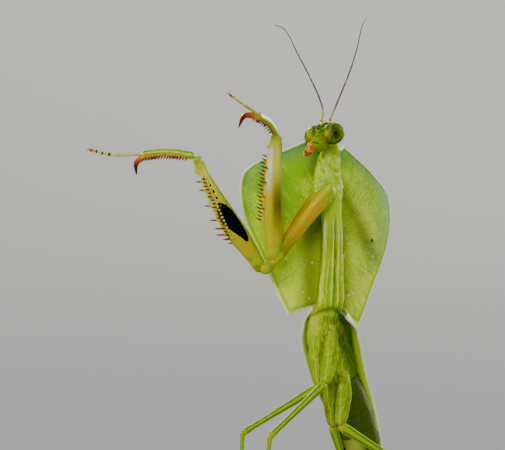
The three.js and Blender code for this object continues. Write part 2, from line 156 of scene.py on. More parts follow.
class Line:
    """A smooth line through a few points, read by its share of the whole length.  Between two
    points it is a centripetal Catmull-Rom curve, as the part's source uses."""

    def __init__(self, points):
        p = np.array(points, float)
        self.knots = p
        p = np.vstack((2 * p[0] - p[1], p, 2 * p[-1] - p[-2]))
        u = np.linspace(0, 1, LINE_STEPS + 1)[:-1, None]
        pieces = []
        for a, b, c, d in zip(p[:-3], p[1:-2], p[2:-1], p[3:]):
            ha, hb, hc = (np.sqrt(np.linalg.norm(step)) for step in (b - a, c - b, d - c))
            out = ((b - a) / ha - (c - a) / (ha + hb) + (c - b) / hb) * hb
            into = ((c - b) / hb - (d - b) / (hb + hc) + (d - c) / hc) * hb
            pieces.append(b * (1 + 2 * u) * (1 - u) ** 2 + c * u * u * (3 - 2 * u)
                          + out * u * (1 - u) ** 2 + into * u * u * (u - 1))
        self.points = np.vstack((*pieces, p[-2]))
        run = np.linalg.norm(np.diff(self.points, axis=0), axis=1).cumsum()
        self.length = run[-1]
        self.share = np.concatenate(((0,), run / run[-1]))

    def __call__(self, t):
        """Point at share t, in proportion between the line's close points."""
        return np.stack([np.interp(t, self.share, axis) for axis in self.points.T], -1)

    def heading(self, t):
        """Direction of travel at share t."""
        return unit(self(np.clip(t + HEADING_STEP, 0, 1)) - self(np.clip(t - HEADING_STEP, 0, 1)))

    def shares(self):
        """The share of the length at which each of its given points lies."""
        return self.share[::LINE_STEPS][:len(self.knots)]


# ---- closed surfaces ---------------------------------------------------------------

JOIN_DIGITS = 4         # points alike to this many decimals of a millimetre are one
SHORTEST_CAP = 0.02     # least share of a limb over which an end closes


class Form:
    """A closed surface: points, faces of four corners (a corner may be used twice), and each
    point's place on its own surface with the height of its relief, which the materials read as
    the attributes "place" and "lift"."""

    def __init__(self, points, faces, place, lift=0.0):
        """Points that lie on one another are joined, and the faces are turned outwards."""
        place = np.column_stack((place, np.broadcast_to(lift, len(points))))
        _, first, where = np.unique(np.round(points, JOIN_DIGITS), axis=0, return_index=True,
                                    return_inverse=True)
        self.points, self.place = points[first], place[first]
        self.faces = where.reshape(-1)[faces]
        a, b, c, d = (self.points[self.faces[:, k]] for k in range(4))
        volume = (a * (np.cross(b, c) + np.cross(c, d))).sum()
        if volume < 0:
            self.faces = self.faces[:, ::-1]


def rounds(points, place, lift=0.0):
    """Form from a grid of points whose columns go round and whose end rows are drawn to a point."""
    number = np.arange(points.shape[0] * points.shape[1]).reshape(points.shape[:2])
    beside = np.roll(number, -1, 1)
    faces = np.stack((number[:-1], beside[:-1], beside[1:], number[1:]), -1)
    lift = np.broadcast_to(lift, points.shape[:2]).reshape(-1)
    return Form(points.reshape(-1, 3), faces.reshape(-1, 4), place.reshape(-1, 3), lift)


def limb(path, wide, deep=None, hint=(0, -1, 0), rows=72, cols=32, blunt=1.0, relief=None):
    """Rounded body along a line.  At share t and angle a round it the point is
    line(t) + side * wide(t) * cos(a) + belly * deep(t) * sin(a), where "belly" is the hint made
    square to the line.  Both half sizes close in a quarter ellipse at each end, and relief(point,
    t, a) lifts the surface by that many millimetres.  Its place is (t, cos a, sin a)."""
    line, deep = (path if isinstance(path, Line) else Line(path)), deep or wide
    t = 0.5 - 0.5 * np.cos(np.linspace(0, np.pi, rows))
    t, a = np.meshgrid(t, np.linspace(0, 2 * np.pi, cols, endpoint=False), indexing="ij")
    centre, ahead = line(t), line.heading(t)
    belly = across(hint(t[..., None]) if callable(hint) else np.array(hint, float), ahead)
    side = np.cross(belly, ahead)
    ends = blunt * np.where(t < 0.5, wide(np.zeros(1)), wide(np.ones(1))) / line.length
    near = np.minimum(1, np.minimum(t, 1 - t) / np.maximum(SHORTEST_CAP, ends))
    cap = np.sqrt(1 - (1 - near) ** 2)
    spread = side * np.cos(a)[..., None], belly * np.sin(a)[..., None]
    points = centre + spread[0] * (cap * wide(t))[..., None] + spread[1] * (cap * deep(t))[..., None]
    lift = 0.0
    if relief:
        lift = relief(points, t, a) * cap
        out = unit(spread[0] * deep(t)[..., None] + spread[1] * wide(t)[..., None])
        points = points + out * lift[..., None]
    return rounds(points, np.stack((t, np.cos(a), np.sin(a)), -1), lift)


def plate(spot, thick, rows, cols, edge=0.35, above=None, marks=None, front=1):
    """Thin shell over the surface spot(s, q), with s and q from 0 to 1 and closer together near
    the edges.  Each face stands half of "thick" off the surface, and the thickness closes in a
    half round over the last "edge" of millimetres.  above(s, q) lifts the back face only.  Its
    place is (s, q, e), or marks(s, q) with e: e is the distance to the nearest edge, positive on
    one face and negative on the other."""
    s, q = np.meshgrid(0.5 - 0.5 * np.cos(np.linspace(0, np.pi, rows)),
                       0.5 - 0.5 * np.cos(np.linspace(0, np.pi, cols)), indexing="ij")
    step, points = 1e-3, spot(s, q)
    ds = spot(np.clip(s + step, 0, 1), q) - spot(np.clip(s - step, 0, 1), q)
    dq = spot(s, np.clip(q + step, 0, 1)) - spot(s, np.clip(q - step, 0, 1))
    normal = unit(np.cross(ds, dq))
    run_s, run_q = (np.linalg.norm(np.diff(points, axis=k), axis=-1).cumsum(k) for k in (0, 1))
    run_s = np.concatenate((np.zeros((1, cols)), run_s), 0)
    run_q = np.concatenate((np.zeros((rows, 1)), run_q), 1)
    e = np.minimum(np.minimum(run_s, run_s[-1:] - run_s), np.minimum(run_q, run_q[:, -1:] - run_q))
    half = thick / 2 * np.sqrt(1 - (1 - np.minimum(1, e / edge)) ** 2)
    place = marks(s, q) if marks else (s, q)
    raised = above(s, q) * np.minimum(1, e / edge) if above else np.zeros_like(e)
    faces, sheets, places = [], [], []
    number = np.arange(rows * cols).reshape(rows, cols)
    quad = np.stack((number[:-1, :-1], number[1:, :-1], number[1:, 1:], number[:-1, 1:]), -1).reshape(-1, 4)
    for k, height in ((0, half), (1, -half - raised)):
        sheets.append(points + normal * height[..., None])
        places.append(np.stack((*place, e * front * (1 - 2 * k)), -1))
        faces.append((quad if k == 0 else quad[:, ::-1]) + k * rows * cols)
    return Form(np.vstack([x.reshape(-1, 3) for x in sheets]), np.vstack(faces),
                np.vstack([x.reshape(-1, 3) for x in places]),
                np.concatenate((0 * raised.ravel(), raised.ravel())))


def ball(centre, axes, radii, rows=40, cols=48, relief=None, bow=None):
    """Round body: centre + axis_k * radius_k * p_k over the directions p, with relief(p) added to
    the radii in millimetres and bow(p) moving the finished point.  Its place is the direction p."""
    polar, a = np.meshgrid(np.linspace(0, np.pi, rows), np.linspace(0, 2 * np.pi, cols, endpoint=False),
                           indexing="ij")
    p = np.stack((np.sin(polar) * np.cos(a), np.sin(polar) * np.sin(a), np.cos(polar)), -1)
    lift = relief(p) if relief else np.zeros(p.shape[:2])
    local = p * (np.array(radii, float) + lift[..., None])
    if bow:
        local = bow(p, local)
    return rounds(np.array(centre, float) + local @ np.array(axes, float), p, lift)


def spikes(roots, tips, radius, bend=(0, 0, 0), rows=7, sides=8, taper=1.0):
    """Many pointed spines in one form.  At share h of a spine the point is
    root + (tip - root) * h + bend * h * (1 - h) + round * radius * (1 - h) ** taper, closed at the
    foot.  Its place is (h, number of the spine, 0)."""
    roots, tips = (np.array(x, float).reshape(-1, 3) for x in (roots, tips))
    radius = np.broadcast_to(radius, len(roots))
    h = np.linspace(0, 1, rows)[None, :, None]
    a = np.linspace(0, 2 * np.pi, sides, endpoint=False)[None, None, :]
    axis = unit(tips - roots)
    first = unit(np.cross(axis, np.where(np.abs(axis[:, 2:]) < 0.8, (0, 0, 1), (1, 0, 0))))
    second = np.cross(axis, first)
    wide = radius[:, None, None] * (1 - h) ** taper + 0 * a
    bow = np.array(bend, float).reshape(-1, 1, 3) * (h * (1 - h))[0][None]
    body = (roots[:, None] + (tips - roots)[:, None] * h[0][None] + bow)[:, :, None]
    ring = (first[:, None, None] * np.cos(a)[..., None] + second[:, None, None] * np.sin(a)[..., None])
    points = body + ring * wide[..., None]
    foot = np.broadcast_to(roots[:, None, None], (len(roots), 1, sides, 3))
    points = np.concatenate((foot, points), 1)
    share = np.concatenate((np.zeros((1, 1, 1)), h), 1)
    number = np.arange(len(roots))[:, None, None]
    place = np.stack(np.broadcast_arrays(share, number, np.zeros((1, 1, sides))), -1)
    grid = np.arange(points[..., 0].size).reshape(points.shape[:3])
    beside = np.roll(grid, -1, 2)
    faces = np.stack((grid[:, :-1], beside[:, :-1], beside[:, 1:], grid[:, 1:]), -1)
    return Form(points.reshape(-1, 3), faces.reshape(-1, 4), place.reshape(-1, 3))


def linked(name, data):
    """New object in the scene that holds the mesh, light or camera."""
    thing = bpy.data.objects.new(name, data)
    bpy.context.collection.objects.link(thing)
    return thing


def piece(name, parts, nodes):
    """One object of the model from (form, material) pairs.  Its place is in its mesh, nothing of
    it goes under the floor, it rides on the part's one body and it stands for the CAD nodes
    named.  A face with a corner used twice becomes a triangle, and one with two is left out."""
    points, places, faces, index, materials, start = [], [], [], [], [], 0
    for form, material in parts:
        if material not in materials:
            materials.append(material)
        same = form.faces == np.roll(form.faces, -1, 1)
        whole, corner = form.faces[same.sum(1) == 0], same.sum(1) == 1
        three = form.faces[corner][~same[corner]].reshape(-1, 3)
        faces += (three + start).tolist() + (whole + start).tolist()
        index += [materials.index(material)] * (len(three) + len(whole))
        points.append(form.points)
        places.append(form.place)
        start += len(form.points)
    points = (np.vstack(points) + SHIFT) * MM
    points[:, 2] = np.maximum(points[:, 2], 0)
    mesh = bpy.data.meshes.new(name)
    mesh.from_pydata(points.tolist(), [], faces)
    places = np.vstack(places)
    mesh.attributes.new("place", "FLOAT_VECTOR", "POINT").data.foreach_set("vector", places[:, :3].ravel())
    mesh.attributes.new("lift", "FLOAT", "POINT").data.foreach_set("value", places[:, 3].copy())
    mesh.polygons.foreach_set("material_index", index)
    mesh.polygons.foreach_set("use_smooth", [True] * len(faces))
    mesh.update()
    for material in materials:
        mesh.materials.append(material)
    thing = linked(name, mesh)
    corners = np.array([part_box(node) for node in nodes])
    beyond = np.maximum(corners[:, 0].min(0) - points.min(0), points.max(0) - corners[:, 1].max(0)).max()
    if beyond > KEEP_TO_CAD * MM:
        raise ValueError(f"{name} stands {beyond / MM:.2f} mm out of {', '.join(nodes)}")
    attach(thing, "root")
    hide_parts(*nodes)


# ---- materials ---------------------------------------------------------------------

GRAIN_DECAY = 0.55              # how strongly each finer octave of a noise counts
LIGHT_DEPTH = 0.0012            # metres that light goes through a skin that glows
LIGHT_REACH = (0.5, 1.0, 0.2)   # shares of that depth that red, green and blue reach


class Value:
    """A socket on its way through a material.  Adding, taking, multiplying, dividing and powers
    make the Math nodes for it."""

    def __init__(self, finish, socket):
        self.finish, self.socket = finish, socket

    def __add__(self, other):
        return self.finish.math("ADD", self, other)

    def __sub__(self, other):
        return self.finish.math("SUBTRACT", self, other)

    def __rsub__(self, other):
        return self.finish.math("SUBTRACT", other, self)

    def __mul__(self, other):
        return self.finish.math("MULTIPLY", self, other)

    def __truediv__(self, other):
        return self.finish.math("DIVIDE", self, other)

    def __pow__(self, other):
        return self.finish.math("POWER", self, other)

    __radd__, __rmul__ = __add__, __mul__


class Finish:
    """A material being made: "node" adds any node, and the rest are the few that recur.  "spot" is
    the place on the object in metres, and x, y, z and lift are the mesh's own attributes."""

    def __init__(self, name):
        self.material = bpy.data.materials.new(name)
        self.material.use_nodes = True
        self.tree = self.material.node_tree
        self.tree.nodes.clear()
        self.spot = self.node("ShaderNodeTexCoord", output="Object")
        place = self.node("ShaderNodeAttribute", {"attribute_name": "place"}, output="Vector")
        self.x, self.y, self.z = (self.node("ShaderNodeSeparateXYZ", {}, {0: place}, k) for k in range(3))
        self.lift = self.node("ShaderNodeAttribute", {"attribute_name": "lift"}, output="Fac")

    def node(self, kind, settings=None, inputs=None, output=0):
        """Adds a node: its settings first, then the values or links of its sockets."""
        made = self.tree.nodes.new(kind)
        for key, value in (settings or {}).items():
            setattr(made, key, value)
        for key, value in (inputs or {}).items():
            if isinstance(value, Value):
                self.tree.links.new(value.socket, made.inputs[key])
            else:
                made.inputs[key].default_value = value
        return Value(self, made.outputs[output]) if made.outputs else None

    def math(self, operation, *values):
        """Math node on the values, in the order of its sockets."""
        return self.node("ShaderNodeMath", {"operation": operation}, dict(enumerate(values)))

    def mix(self, a, b, share):
        """Colour a where share is 0 and b where it is 1."""
        return self.node("ShaderNodeMix", {"data_type": "RGBA", "clamp_factor": True},
                         {0: share, 6: a, 7: b}, 2)

    def span(self, value, start, end):
        """0 at start, 1 at end and smooth between."""
        return self.node("ShaderNodeMapRange", {"interpolation_type": "SMOOTHSTEP"},
                         {0: value, 1: start, 2: end})

    def near(self, value, middle, width):
        """1 where the value is "middle", falling smoothly to 0 at "width" from it."""
        return self.span(self.math("ABSOLUTE", value - middle), width, 0.0)

    def stretched(self, vector, scale):
        """The vector with each of its three parts multiplied by the scale's."""
        return self.node("ShaderNodeVectorMath", {"operation": "MULTIPLY"}, {0: vector, 1: scale})

    def vector(self, x, y, z):
        """Vector with these three parts."""
        return self.node("ShaderNodeCombineXYZ", {}, {0: x, 1: y, 2: z})

    def noise(self, size, detail, on=None, unitless=False):
        """Cloudy pattern from 0 to 1 with patches about "size" wide: in millimetres of the object,
        or if "unitless" in whole units of the vector it is laid on."""
        return self.node("ShaderNodeTexNoise", {}, {
            "Vector": on or self.spot, "Scale": 1 / size if unitless else 1 / (size * MM),
            "Detail": detail, "Roughness": GRAIN_DECAY})

    def cells(self, size, feature="F1", on=None, unitless=False):
        """Distance inside cells about "size" wide, as for noise: from their middles, or their edges."""
        return self.node("ShaderNodeTexVoronoi", {"feature": feature}, {
            "Vector": on or self.spot, "Scale": 1 / size if unitless else 1 / (size * MM)})

    def done(self, colour, roughness, height=None, depth=0.05, coat=0.25, coat_roughness=0.15,
             glow=0.0, specular=0.5, shine=0.0):
        """Joins it all in one shader.  "depth" is the bump's height in millimetres and "glow" how
        far light passes through the shell; "shine" is light of its own."""
        inputs = {"Base Color": colour, "Roughness": roughness, "Coat Weight": coat,
                  "Coat Roughness": coat_roughness, "Subsurface Weight": glow,
                  "Subsurface Radius": LIGHT_REACH, "Subsurface Scale": LIGHT_DEPTH,
                  "Specular IOR Level": specular, "Emission Color": (1, 1, 1, 1),
                  "Emission Strength": shine}
        if height is not None:
            inputs["Normal"] = self.node("ShaderNodeBump", {}, {
                "Strength": 1.0, "Distance": depth * MM, "Height": height})
        shader = self.node("ShaderNodeBsdfPrincipled", {}, inputs)
        self.node("ShaderNodeOutputMaterial", {}, {"Surface": shader})
        return self.material


# ---- sizes and colours a user may change -------------------------------------------

def tone(name, description, red, green, blue):
    """A colour property.  Its default is given in 0-255 as seen on a screen and kept as light:
    light = ((shown + 0.055) / 1.055) ** 2.4."""
    light = [((c / 255 + 0.055) / 1.055) ** 2.4 for c in (red, green, blue)]
    return bpy.props.FloatVectorProperty(
        name=name, description=description, subtype="COLOR", size=4, min=0, max=1, default=(*light, 1))


def measure(name, description, default, low=0.0, high=2.0):
    """A length property, given here in millimetres and kept in metres."""
    return bpy.props.FloatProperty(name=name, description=description, default=default * MM,
                                   min=low * MM, max=high * MM, precision=6, unit="LENGTH")


class MantisColours(bpy.types.PropertyGroup):
    """The animal's colours."""
    leaf: tone("Leaf green", "Main green of the shield and fore wings", 140, 182, 12)
    # Lemon is also painted light: on the lit half of the middle breast and on the walking legs' keels.
    lemon: tone("Lemon", "Yellow-green of thin and sunlit parts of the shield", 216, 224, 36)
    teal: tone("Teal", "Blue-green along the shield's front margins", 84, 160, 104)
    # Deep green is also painted shade: in the bottoms of folds, on the left flank and back of the body,
    # beside the body on the shield and on the wings' inner faces.
    deep: tone("Deep green", "Green beside the body and under the wings", 38, 80, 0)
    # Rim is also a painted highlight: on the highest folds of the breast, on the left grasping leg's shin and
    # thigh, and along the right fore wing's wider border.
    rim: tone("Rim", "Pale edge of the shield and wings", 236, 230, 212)
    lime: tone("Lime", "Skin of the breast and walking legs", 156, 192, 8)
    # Cream on the tops of folds and keels is a painted highlight, and on the wings' inner faces and the hind
    # belly plates it is painted light.
    cream: tone("Cream", "Pale tops of folds and ridges", 236, 240, 92)
    # Apple green also paints a glow of light through the shield and the front of the breast.
    apple: tone("Apple green", "Thin bright skin between the front legs", 190, 226, 30)
    moss: tone("Moss", "Head capsule", 52, 84, 10)
    # Olive on the abdomen's sides, in the head's grooves and on one half of the middle breast is painted
    # shade.
    olive: tone("Olive", "Eyes and the abdomen's sides", 27, 36, 0)
    # Khaki in the hinges' grooves and at the lower end of the grasping legs' upper joints is painted shade.
    khaki: tone("Khaki", "Cheeks and joints", 130, 132, 26)
    ochre: tone("Ochre", "Upper joints of the grasping legs", 212, 172, 20)
    straw: tone("Straw", "Thighs of the grasping legs", 196, 184, 10)
    flame: tone("Flame", "Mouthparts and the roots of the spines", 190, 80, 0)
    blood: tone("Blood", "Dark red of the lip and claws", 98, 12, 0)
    soot: tone("Soot", "Spine tips, joints and the patch inside the thighs", 2, 2, 2)
    dusk: tone("Dusk", "Feelers", 88, 68, 70)
    floor: tone("Floor", "Floor and surround", 58, 57, 55)


class MantisSizes(bpy.types.PropertyGroup):
    """Fine relief and the thickness of thin pieces."""
    veins: measure("Veins", "Height of the veins on shield and wings", 0.05)
    folds: measure("Folds", "Height of the skin's folds", 0.2)
    grain: measure("Grain", "Height of the finest pits", 0.02)
    feeler: measure("Feeler", "Half thickness of a feeler", 0.13, 0.05, 0.27)
    spine: measure("Spine", "Half thickness of a spine at its foot", 0.17, 0.05, 0.3)


def ink(name):
    """One of the colours, ready for a socket."""
    return tuple(getattr(bpy.context.scene.mantis_colours, name))


def size(name):
    """One of the fine sizes, in millimetres."""
    return getattr(bpy.context.scene.mantis_sizes, name) / MM


# ---- the animal's own lines --------------------------------------------------------

# The shield and the head each have a middle and three directions of their own: left, out of the
# belly or face, and headward or crown.  The trunk is a line from the shield to the tail.
SHIELD_AT = np.array((-0.38, 0, 49.5))
LEFT, HEADWARD = unit((0.847, 0.512, -0.141)), unit((0.009, 0.252, 0.968))
BELLY = np.cross(LEFT, HEADWARD)
HEAD_AT = np.array((-0.55, -0.45, 63.5))
HEAD_LEFT, CROWN = unit((0.757, -0.645, 0.110)), unit((0.280, 0.471, 0.836))
FACE = np.cross(HEAD_LEFT, CROWN)
HEAD = np.array((HEAD_LEFT, FACE, CROWN))
SHIELD_REAR, SHIELD_FRONT = -14.5, 13.1     # where the shield's lobes end along it
SHELL = 0.5             # thickness of the shield
TRUNK = Line(((0.2, -4.3, 38.6), (-0.35, -2.7, 34.8), (1.1, 0.5, 28.0), (3.75, 5.0, 21.0),
              (6.1, 9.8, 12.6), (8.0, 14.2, 4.9)))
TRUNK_BELLY = unit((0.33, -0.94, 0))
RINGS = 8
SIDES = (("left", 1), ("right", -1))


def tube(w):
    """Middle of the front body at the height w along the shield."""
    drift = -0.7 * ease(1, 5, w) * ease(12.5, 9, w) - 0.35 * ease(-8, -12, w)
    return SHIELD_AT + HEADWARD * w + BELLY * (1.5 + 0.25 * ease(3, 7, w)) + LEFT * drift


def on_head(a, b, c):
    """Point a to the head's left, b out of its face and c towards its crown."""
    return HEAD_AT + np.array((a, b, c), float) @ HEAD


def trunk_belly(t):
    """Direction out of the belly at share t of the trunk."""
    return across(TRUNK_BELLY, TRUNK.heading(t))


# ---- shield ------------------------------------------------------------------------

CAMBER = 0.015          # how far the shield bends back, for each square millimetre from its middle
VEINS_BELOW = 3.0       # the veins fan out of a point this far below the shield's middle
DOT_AT, DOT_EDGE = (8.95, -0.7), (0.34, 0.2)    # place of the black dot, and where its edge fades
SHIELD_HALF = profile((-14.5, 6.2), (-12, 7.6), (-8, 9.35), (-4, 11.3), (-1, 12.6), (2, 13.3),
                      (4.5, 13.55), (6.5, 13.25), (8, 12.15), (9.4, 9.95), (11, 7.0), (13.1, 3.15))


def shield_place(s, q):
    """Place across and along the shield: u = side * half width(w), and w runs from the middle
    line's own reach to the lobes' further reach as |side| ** power."""
    side, w = 2 * s - 1, mix(SHIELD_REAR, SHIELD_FRONT, q)
    reach = mix(mix(-12.1, 12.0, q), w, np.abs(side) ** mix(1.3, 5, q))
    return side * SHIELD_HALF(w), reach


def shield_spot(s, q):
    """The shield's middle surface, bent back by CAMBER * u * u, with a gentle wave across it."""
    u, w = shield_place(s, q)
    flat = SHIELD_AT + u[..., None] * LEFT + w[..., None] * HEADWARD
    wave = 0.16 * ripple(flat, 7.0, 3) * np.minimum(1, np.abs(u) / 5)
    return flat + (wave - CAMBER * u * u)[..., None] * BELLY


def shield_back(s, q):
    """Relief of the back: a low swelling over the body, a keel down its middle and the furrow
    across it above the fore legs."""
    u, w = shield_place(s, q)
    reach = ease(-12.3, -9, w) * ease(12.4, 10, w)
    swell = hump(u, 0, 2.0 + 0.5 * hump(w, 5.5, 2.5))
    return reach * (0.5 * swell + 0.3 * hump(u, 0, 0.35)) - 0.3 * hump(w - 0.05 * u * u, 4.6, 0.4) * swell


def shield_finish():
    """Translucent leaf skin, read by u across, w along and e from the edge: veins that fan out of
    the body line, a paler belly face over the lower part and the left half, partly the leaf's own
    yellow and partly a painted glow of light through it, a painted shadow in a slanting band over
    the left half, painted shade beside the body, teal along the front margins, a pale rim, pale
    specks in the lower half and one black dot."""
    f = Finish("shield_skin")
    u, w, e = f.x, f.y, f.math("ABSOLUTE", f.z)
    out = f.math("ABSOLUTE", u)
    fan = f.math("ARCTAN2", w + VEINS_BELOW, u)
    reach = f.math("SQRT", u * u + (w + VEINS_BELOW) ** 2)
    streak = f.noise(1.0, 2, f.vector(fan * 13.0, reach * 0.16, 0.0), unitless=True)
    fine = f.noise(1.0, 2, f.vector(fan * 50.0, reach * 0.55, 2.0), unitless=True)
    net = f.span(f.cells(0.5, "DISTANCE_TO_EDGE"), 0.0, 0.2)
    cloud, mottle, grain = f.noise(4.5, 2), f.noise(0.9, 3), f.noise(0.22, 2)
    sunlit = cloud + (mottle - 0.5) * 0.3 + (grain - 0.5) * 0.5 - w * 0.016
    front = f.span(f.z, -0.05, 0.05)
    colour = f.mix(ink("leaf"), ink("lemon"), f.span(sunlit, 0.34, 0.66) * (0.25 + 0.7 * front))
    # Painted glow: the belly face is paler over the lower part and the left half, partly the leaf's own
    # yellow and partly light shining through.
    pale = f.span(w, -2.0, -9.0) * 0.7 + f.near(u, 6.5, 6.0) * f.span(w, -9.0, 5.0) * 0.85
    # Painted shadow: a soft slanting band of shade over the left half, next to the body.
    slope = (u - 3.0) * 0.81 + (w - 5.0) * 0.58
    dim = f.near(slope, 0.3, 2.6) * f.span(u, 1.0, 3.5) * f.span(w, -6.0, -1.0)
    # The colour of that painted glow.
    thin = f.mix(ink("cream"), ink("apple"), 0.4)
    colour = f.mix(colour, thin, pale * f.span(fine + (grain - 0.5) * 0.6, 0.3, 0.7) * front)
    veined = f.span(streak + (grain - 0.5) * 0.3, 0.54, 0.78)
    colour = f.mix(colour, ink("cream"), veined * (0.15 + 0.3 * front))
    # The painted shadow band, strongest on the belly face.
    colour = f.mix(colour, ink("deep"), dim * (0.15 + 0.5 * front))
    colour = f.mix(colour, ink("deep"), f.span(streak, 0.46, 0.25) * 0.3 * f.span(out, 13.0, 5.0))
    colour = f.mix(colour, ink("teal"), f.span(w, 0.0, 10.0) * f.span(e, 4.6, 0.4) * 0.55)
    # Painted shade beside the body, over the upper shield on both sides.
    colour = f.mix(colour, ink("deep"), f.near(out, 2.9, 2.6) * f.span(w, 6.0, -3.0) * 0.6)
    colour = f.mix(colour, ink("cream"), (1.0 - net) * 0.07)
    speck = f.span(f.cells(1.0), 0.2, 0.1) * f.span(w, 0.0, -5.0) * f.span(f.noise(2.5, 1), 0.4, 0.55)
    colour = f.mix(colour, ink("rim"), speck)
    colour = f.mix(colour, ink("deep"), f.near(e, 0.6, 0.4) * 0.3)
    colour = f.mix(colour, ink("rim"), f.span(e, 0.34, 0.14) * 0.9)
    dot = f.math("SQRT", (u - DOT_AT[0]) ** 2 + (w - DOT_AT[1]) ** 2)
    colour = f.mix(colour, ink("soot"), f.span(dot, *DOT_EDGE))
    height = streak * 0.5 + fine * 0.45 + (1.0 - net) * 0.2 + mottle * 0.3 + grain * 0.25
    return f.done(colour, 0.4 + 0.2 * mottle, height, size("veins"), coat=0.0, glow=0.4, specular=0.06)


def make_shield():
    """Plate over shield_spot, as thick as SHELL, with shield_back's relief on its hind face."""
    form = plate(shield_spot, SHELL, 150, 170, 0.34, shield_back, shield_place)
    piece("shield", [(form, shield_finish())], ["pronotum_shield"])


# ---- front body: one skin from the neck to the hind breast --------------------------

def body_table():
    """Points down the body's middle with its half width and half depth at each."""
    rows = [(on_head(0, -0.95, -0.3), 0.9, 0.9), ((0.35, 1.6, 62.1), 1.05, 1.05)]
    rows += [(tube(w), wide, deep) for w, wide, deep in (
        (11.0, 1.4, 1.2), (9.0, 1.85, 1.35), (5.5, 2.3, 1.5), (2.1, 1.75, 1.4), (-0.4, 1.5, 1.3),
        (-5.4, 1.6, 1.3), (-9.8, 1.95, 1.35), (-12.6, 2.1, 1.45))]
    aside = np.array((0.94, 0.34, 0))
    rows += [(TRUNK(np.array(t)) + aside * shift, wide, deep) for t, wide, deep, shift in (
        (0.085, 2.4, 2.0, -0.35), (0.15, 2.9, 2.2, -0.2), (0.2, 3.0, 2.2, -0.1), (0.27, 3.25, 2.25, 0.1),
        (0.335, 3.1, 1.9, 0.35), (0.37, 2.6, 1.5, 0.4))]
    return rows


def crossing_wrinkles(barrel, w):
    """Two sets of creases that slant round the body against each other, and fine ones over them."""
    slant = np.stack((barrel[..., 0] + 0.5 * w, barrel[..., 1], w * 0.6), -1)
    return 0.5 * creased(slant, 0.95, 1) + 0.5 * creased(slant * (-1, 1, 1), 0.7, 2) \
        + 0.4 * creased(barrel, 0.36, 15)


def hind_ridges(off, w):
    """Ridges that run along the body at three angles from the middle of the belly, a groove down
    the middle, and fine strands that grow stronger towards the rear."""
    strand = creased(np.stack((off * 2.2 - 0.1 * w, w * 0.16, 0 * w), -1), 0.42, 3)
    ridges = hump(off, 0.27, 0.07) + 1.1 * hump(off, 1.15, 0.2)
    ridges += 0.5 * hump(off, 0.68, 0.05) * ease(-3, -8, w)
    return 1.3 * ridges - 0.8 * hump(off, 0, 0.14) + 0.45 * strand * ease(2, -9, w)


def hung_strands(off, w):
    """Long strands that run down and in, with finer ones over them."""
    slant = np.stack((off * 2.8 - 0.5 * w, w * 0.28, 0 * w), -1)
    return 0.8 * creased(slant, 0.5, 5) + 0.5 * creased(slant * (1.6, 1.3, 1), 0.42, 6)


def body_relief(points, t, a):
    """Folds of the breast, each faded in and out along the shield's height w: crossing wrinkles
    and two winding seams round the roots of the fore legs, three rings round the neck, ridges
    down the hind half, a furrow across its end, and strands where the middle legs are hung."""
    w = (points - SHIELD_AT) @ HEADWARD
    off = turned(a, np.pi / 2)      # angle from the middle of the belly
    belly = ease(2.2, 1.4, off)
    barrel = np.stack((np.cos(a) * 2.0, np.sin(a) * 2.0, w), -1)
    wrinkle, bent = crossing_wrinkles(barrel, w), w + 0.7 * ripple(barrel, 1.3, 16)
    seams = hump(bent, 7.6 - 1.2 * off, 0.2) + hump(bent, 4.7 + 0.9 * off, 0.18)
    neck = hump(w, 11.0, 0.28) + hump(w, 12.0, 0.25) + hump(w, 13.1, 0.25)
    front = ease(1, 4.5, w) * ease(12.5, 9.5, w)
    rear = ease(2.5, -1, w) * ease(-13.9, -11.5, w)
    end = ease(-12.4, -14.5, w)
    return size("folds") * (front * (0.8 * wrinkle + 0.45 * seams * belly)
                            + end * (0.7 * hung_strands(off, w) + 0.1 * wrinkle)
                            + rear * hind_ridges(off, w)
                            + 0.5 * neck - 1.5 * hump(w, -13.3 - 0.5 * off, 0.3) * belly)


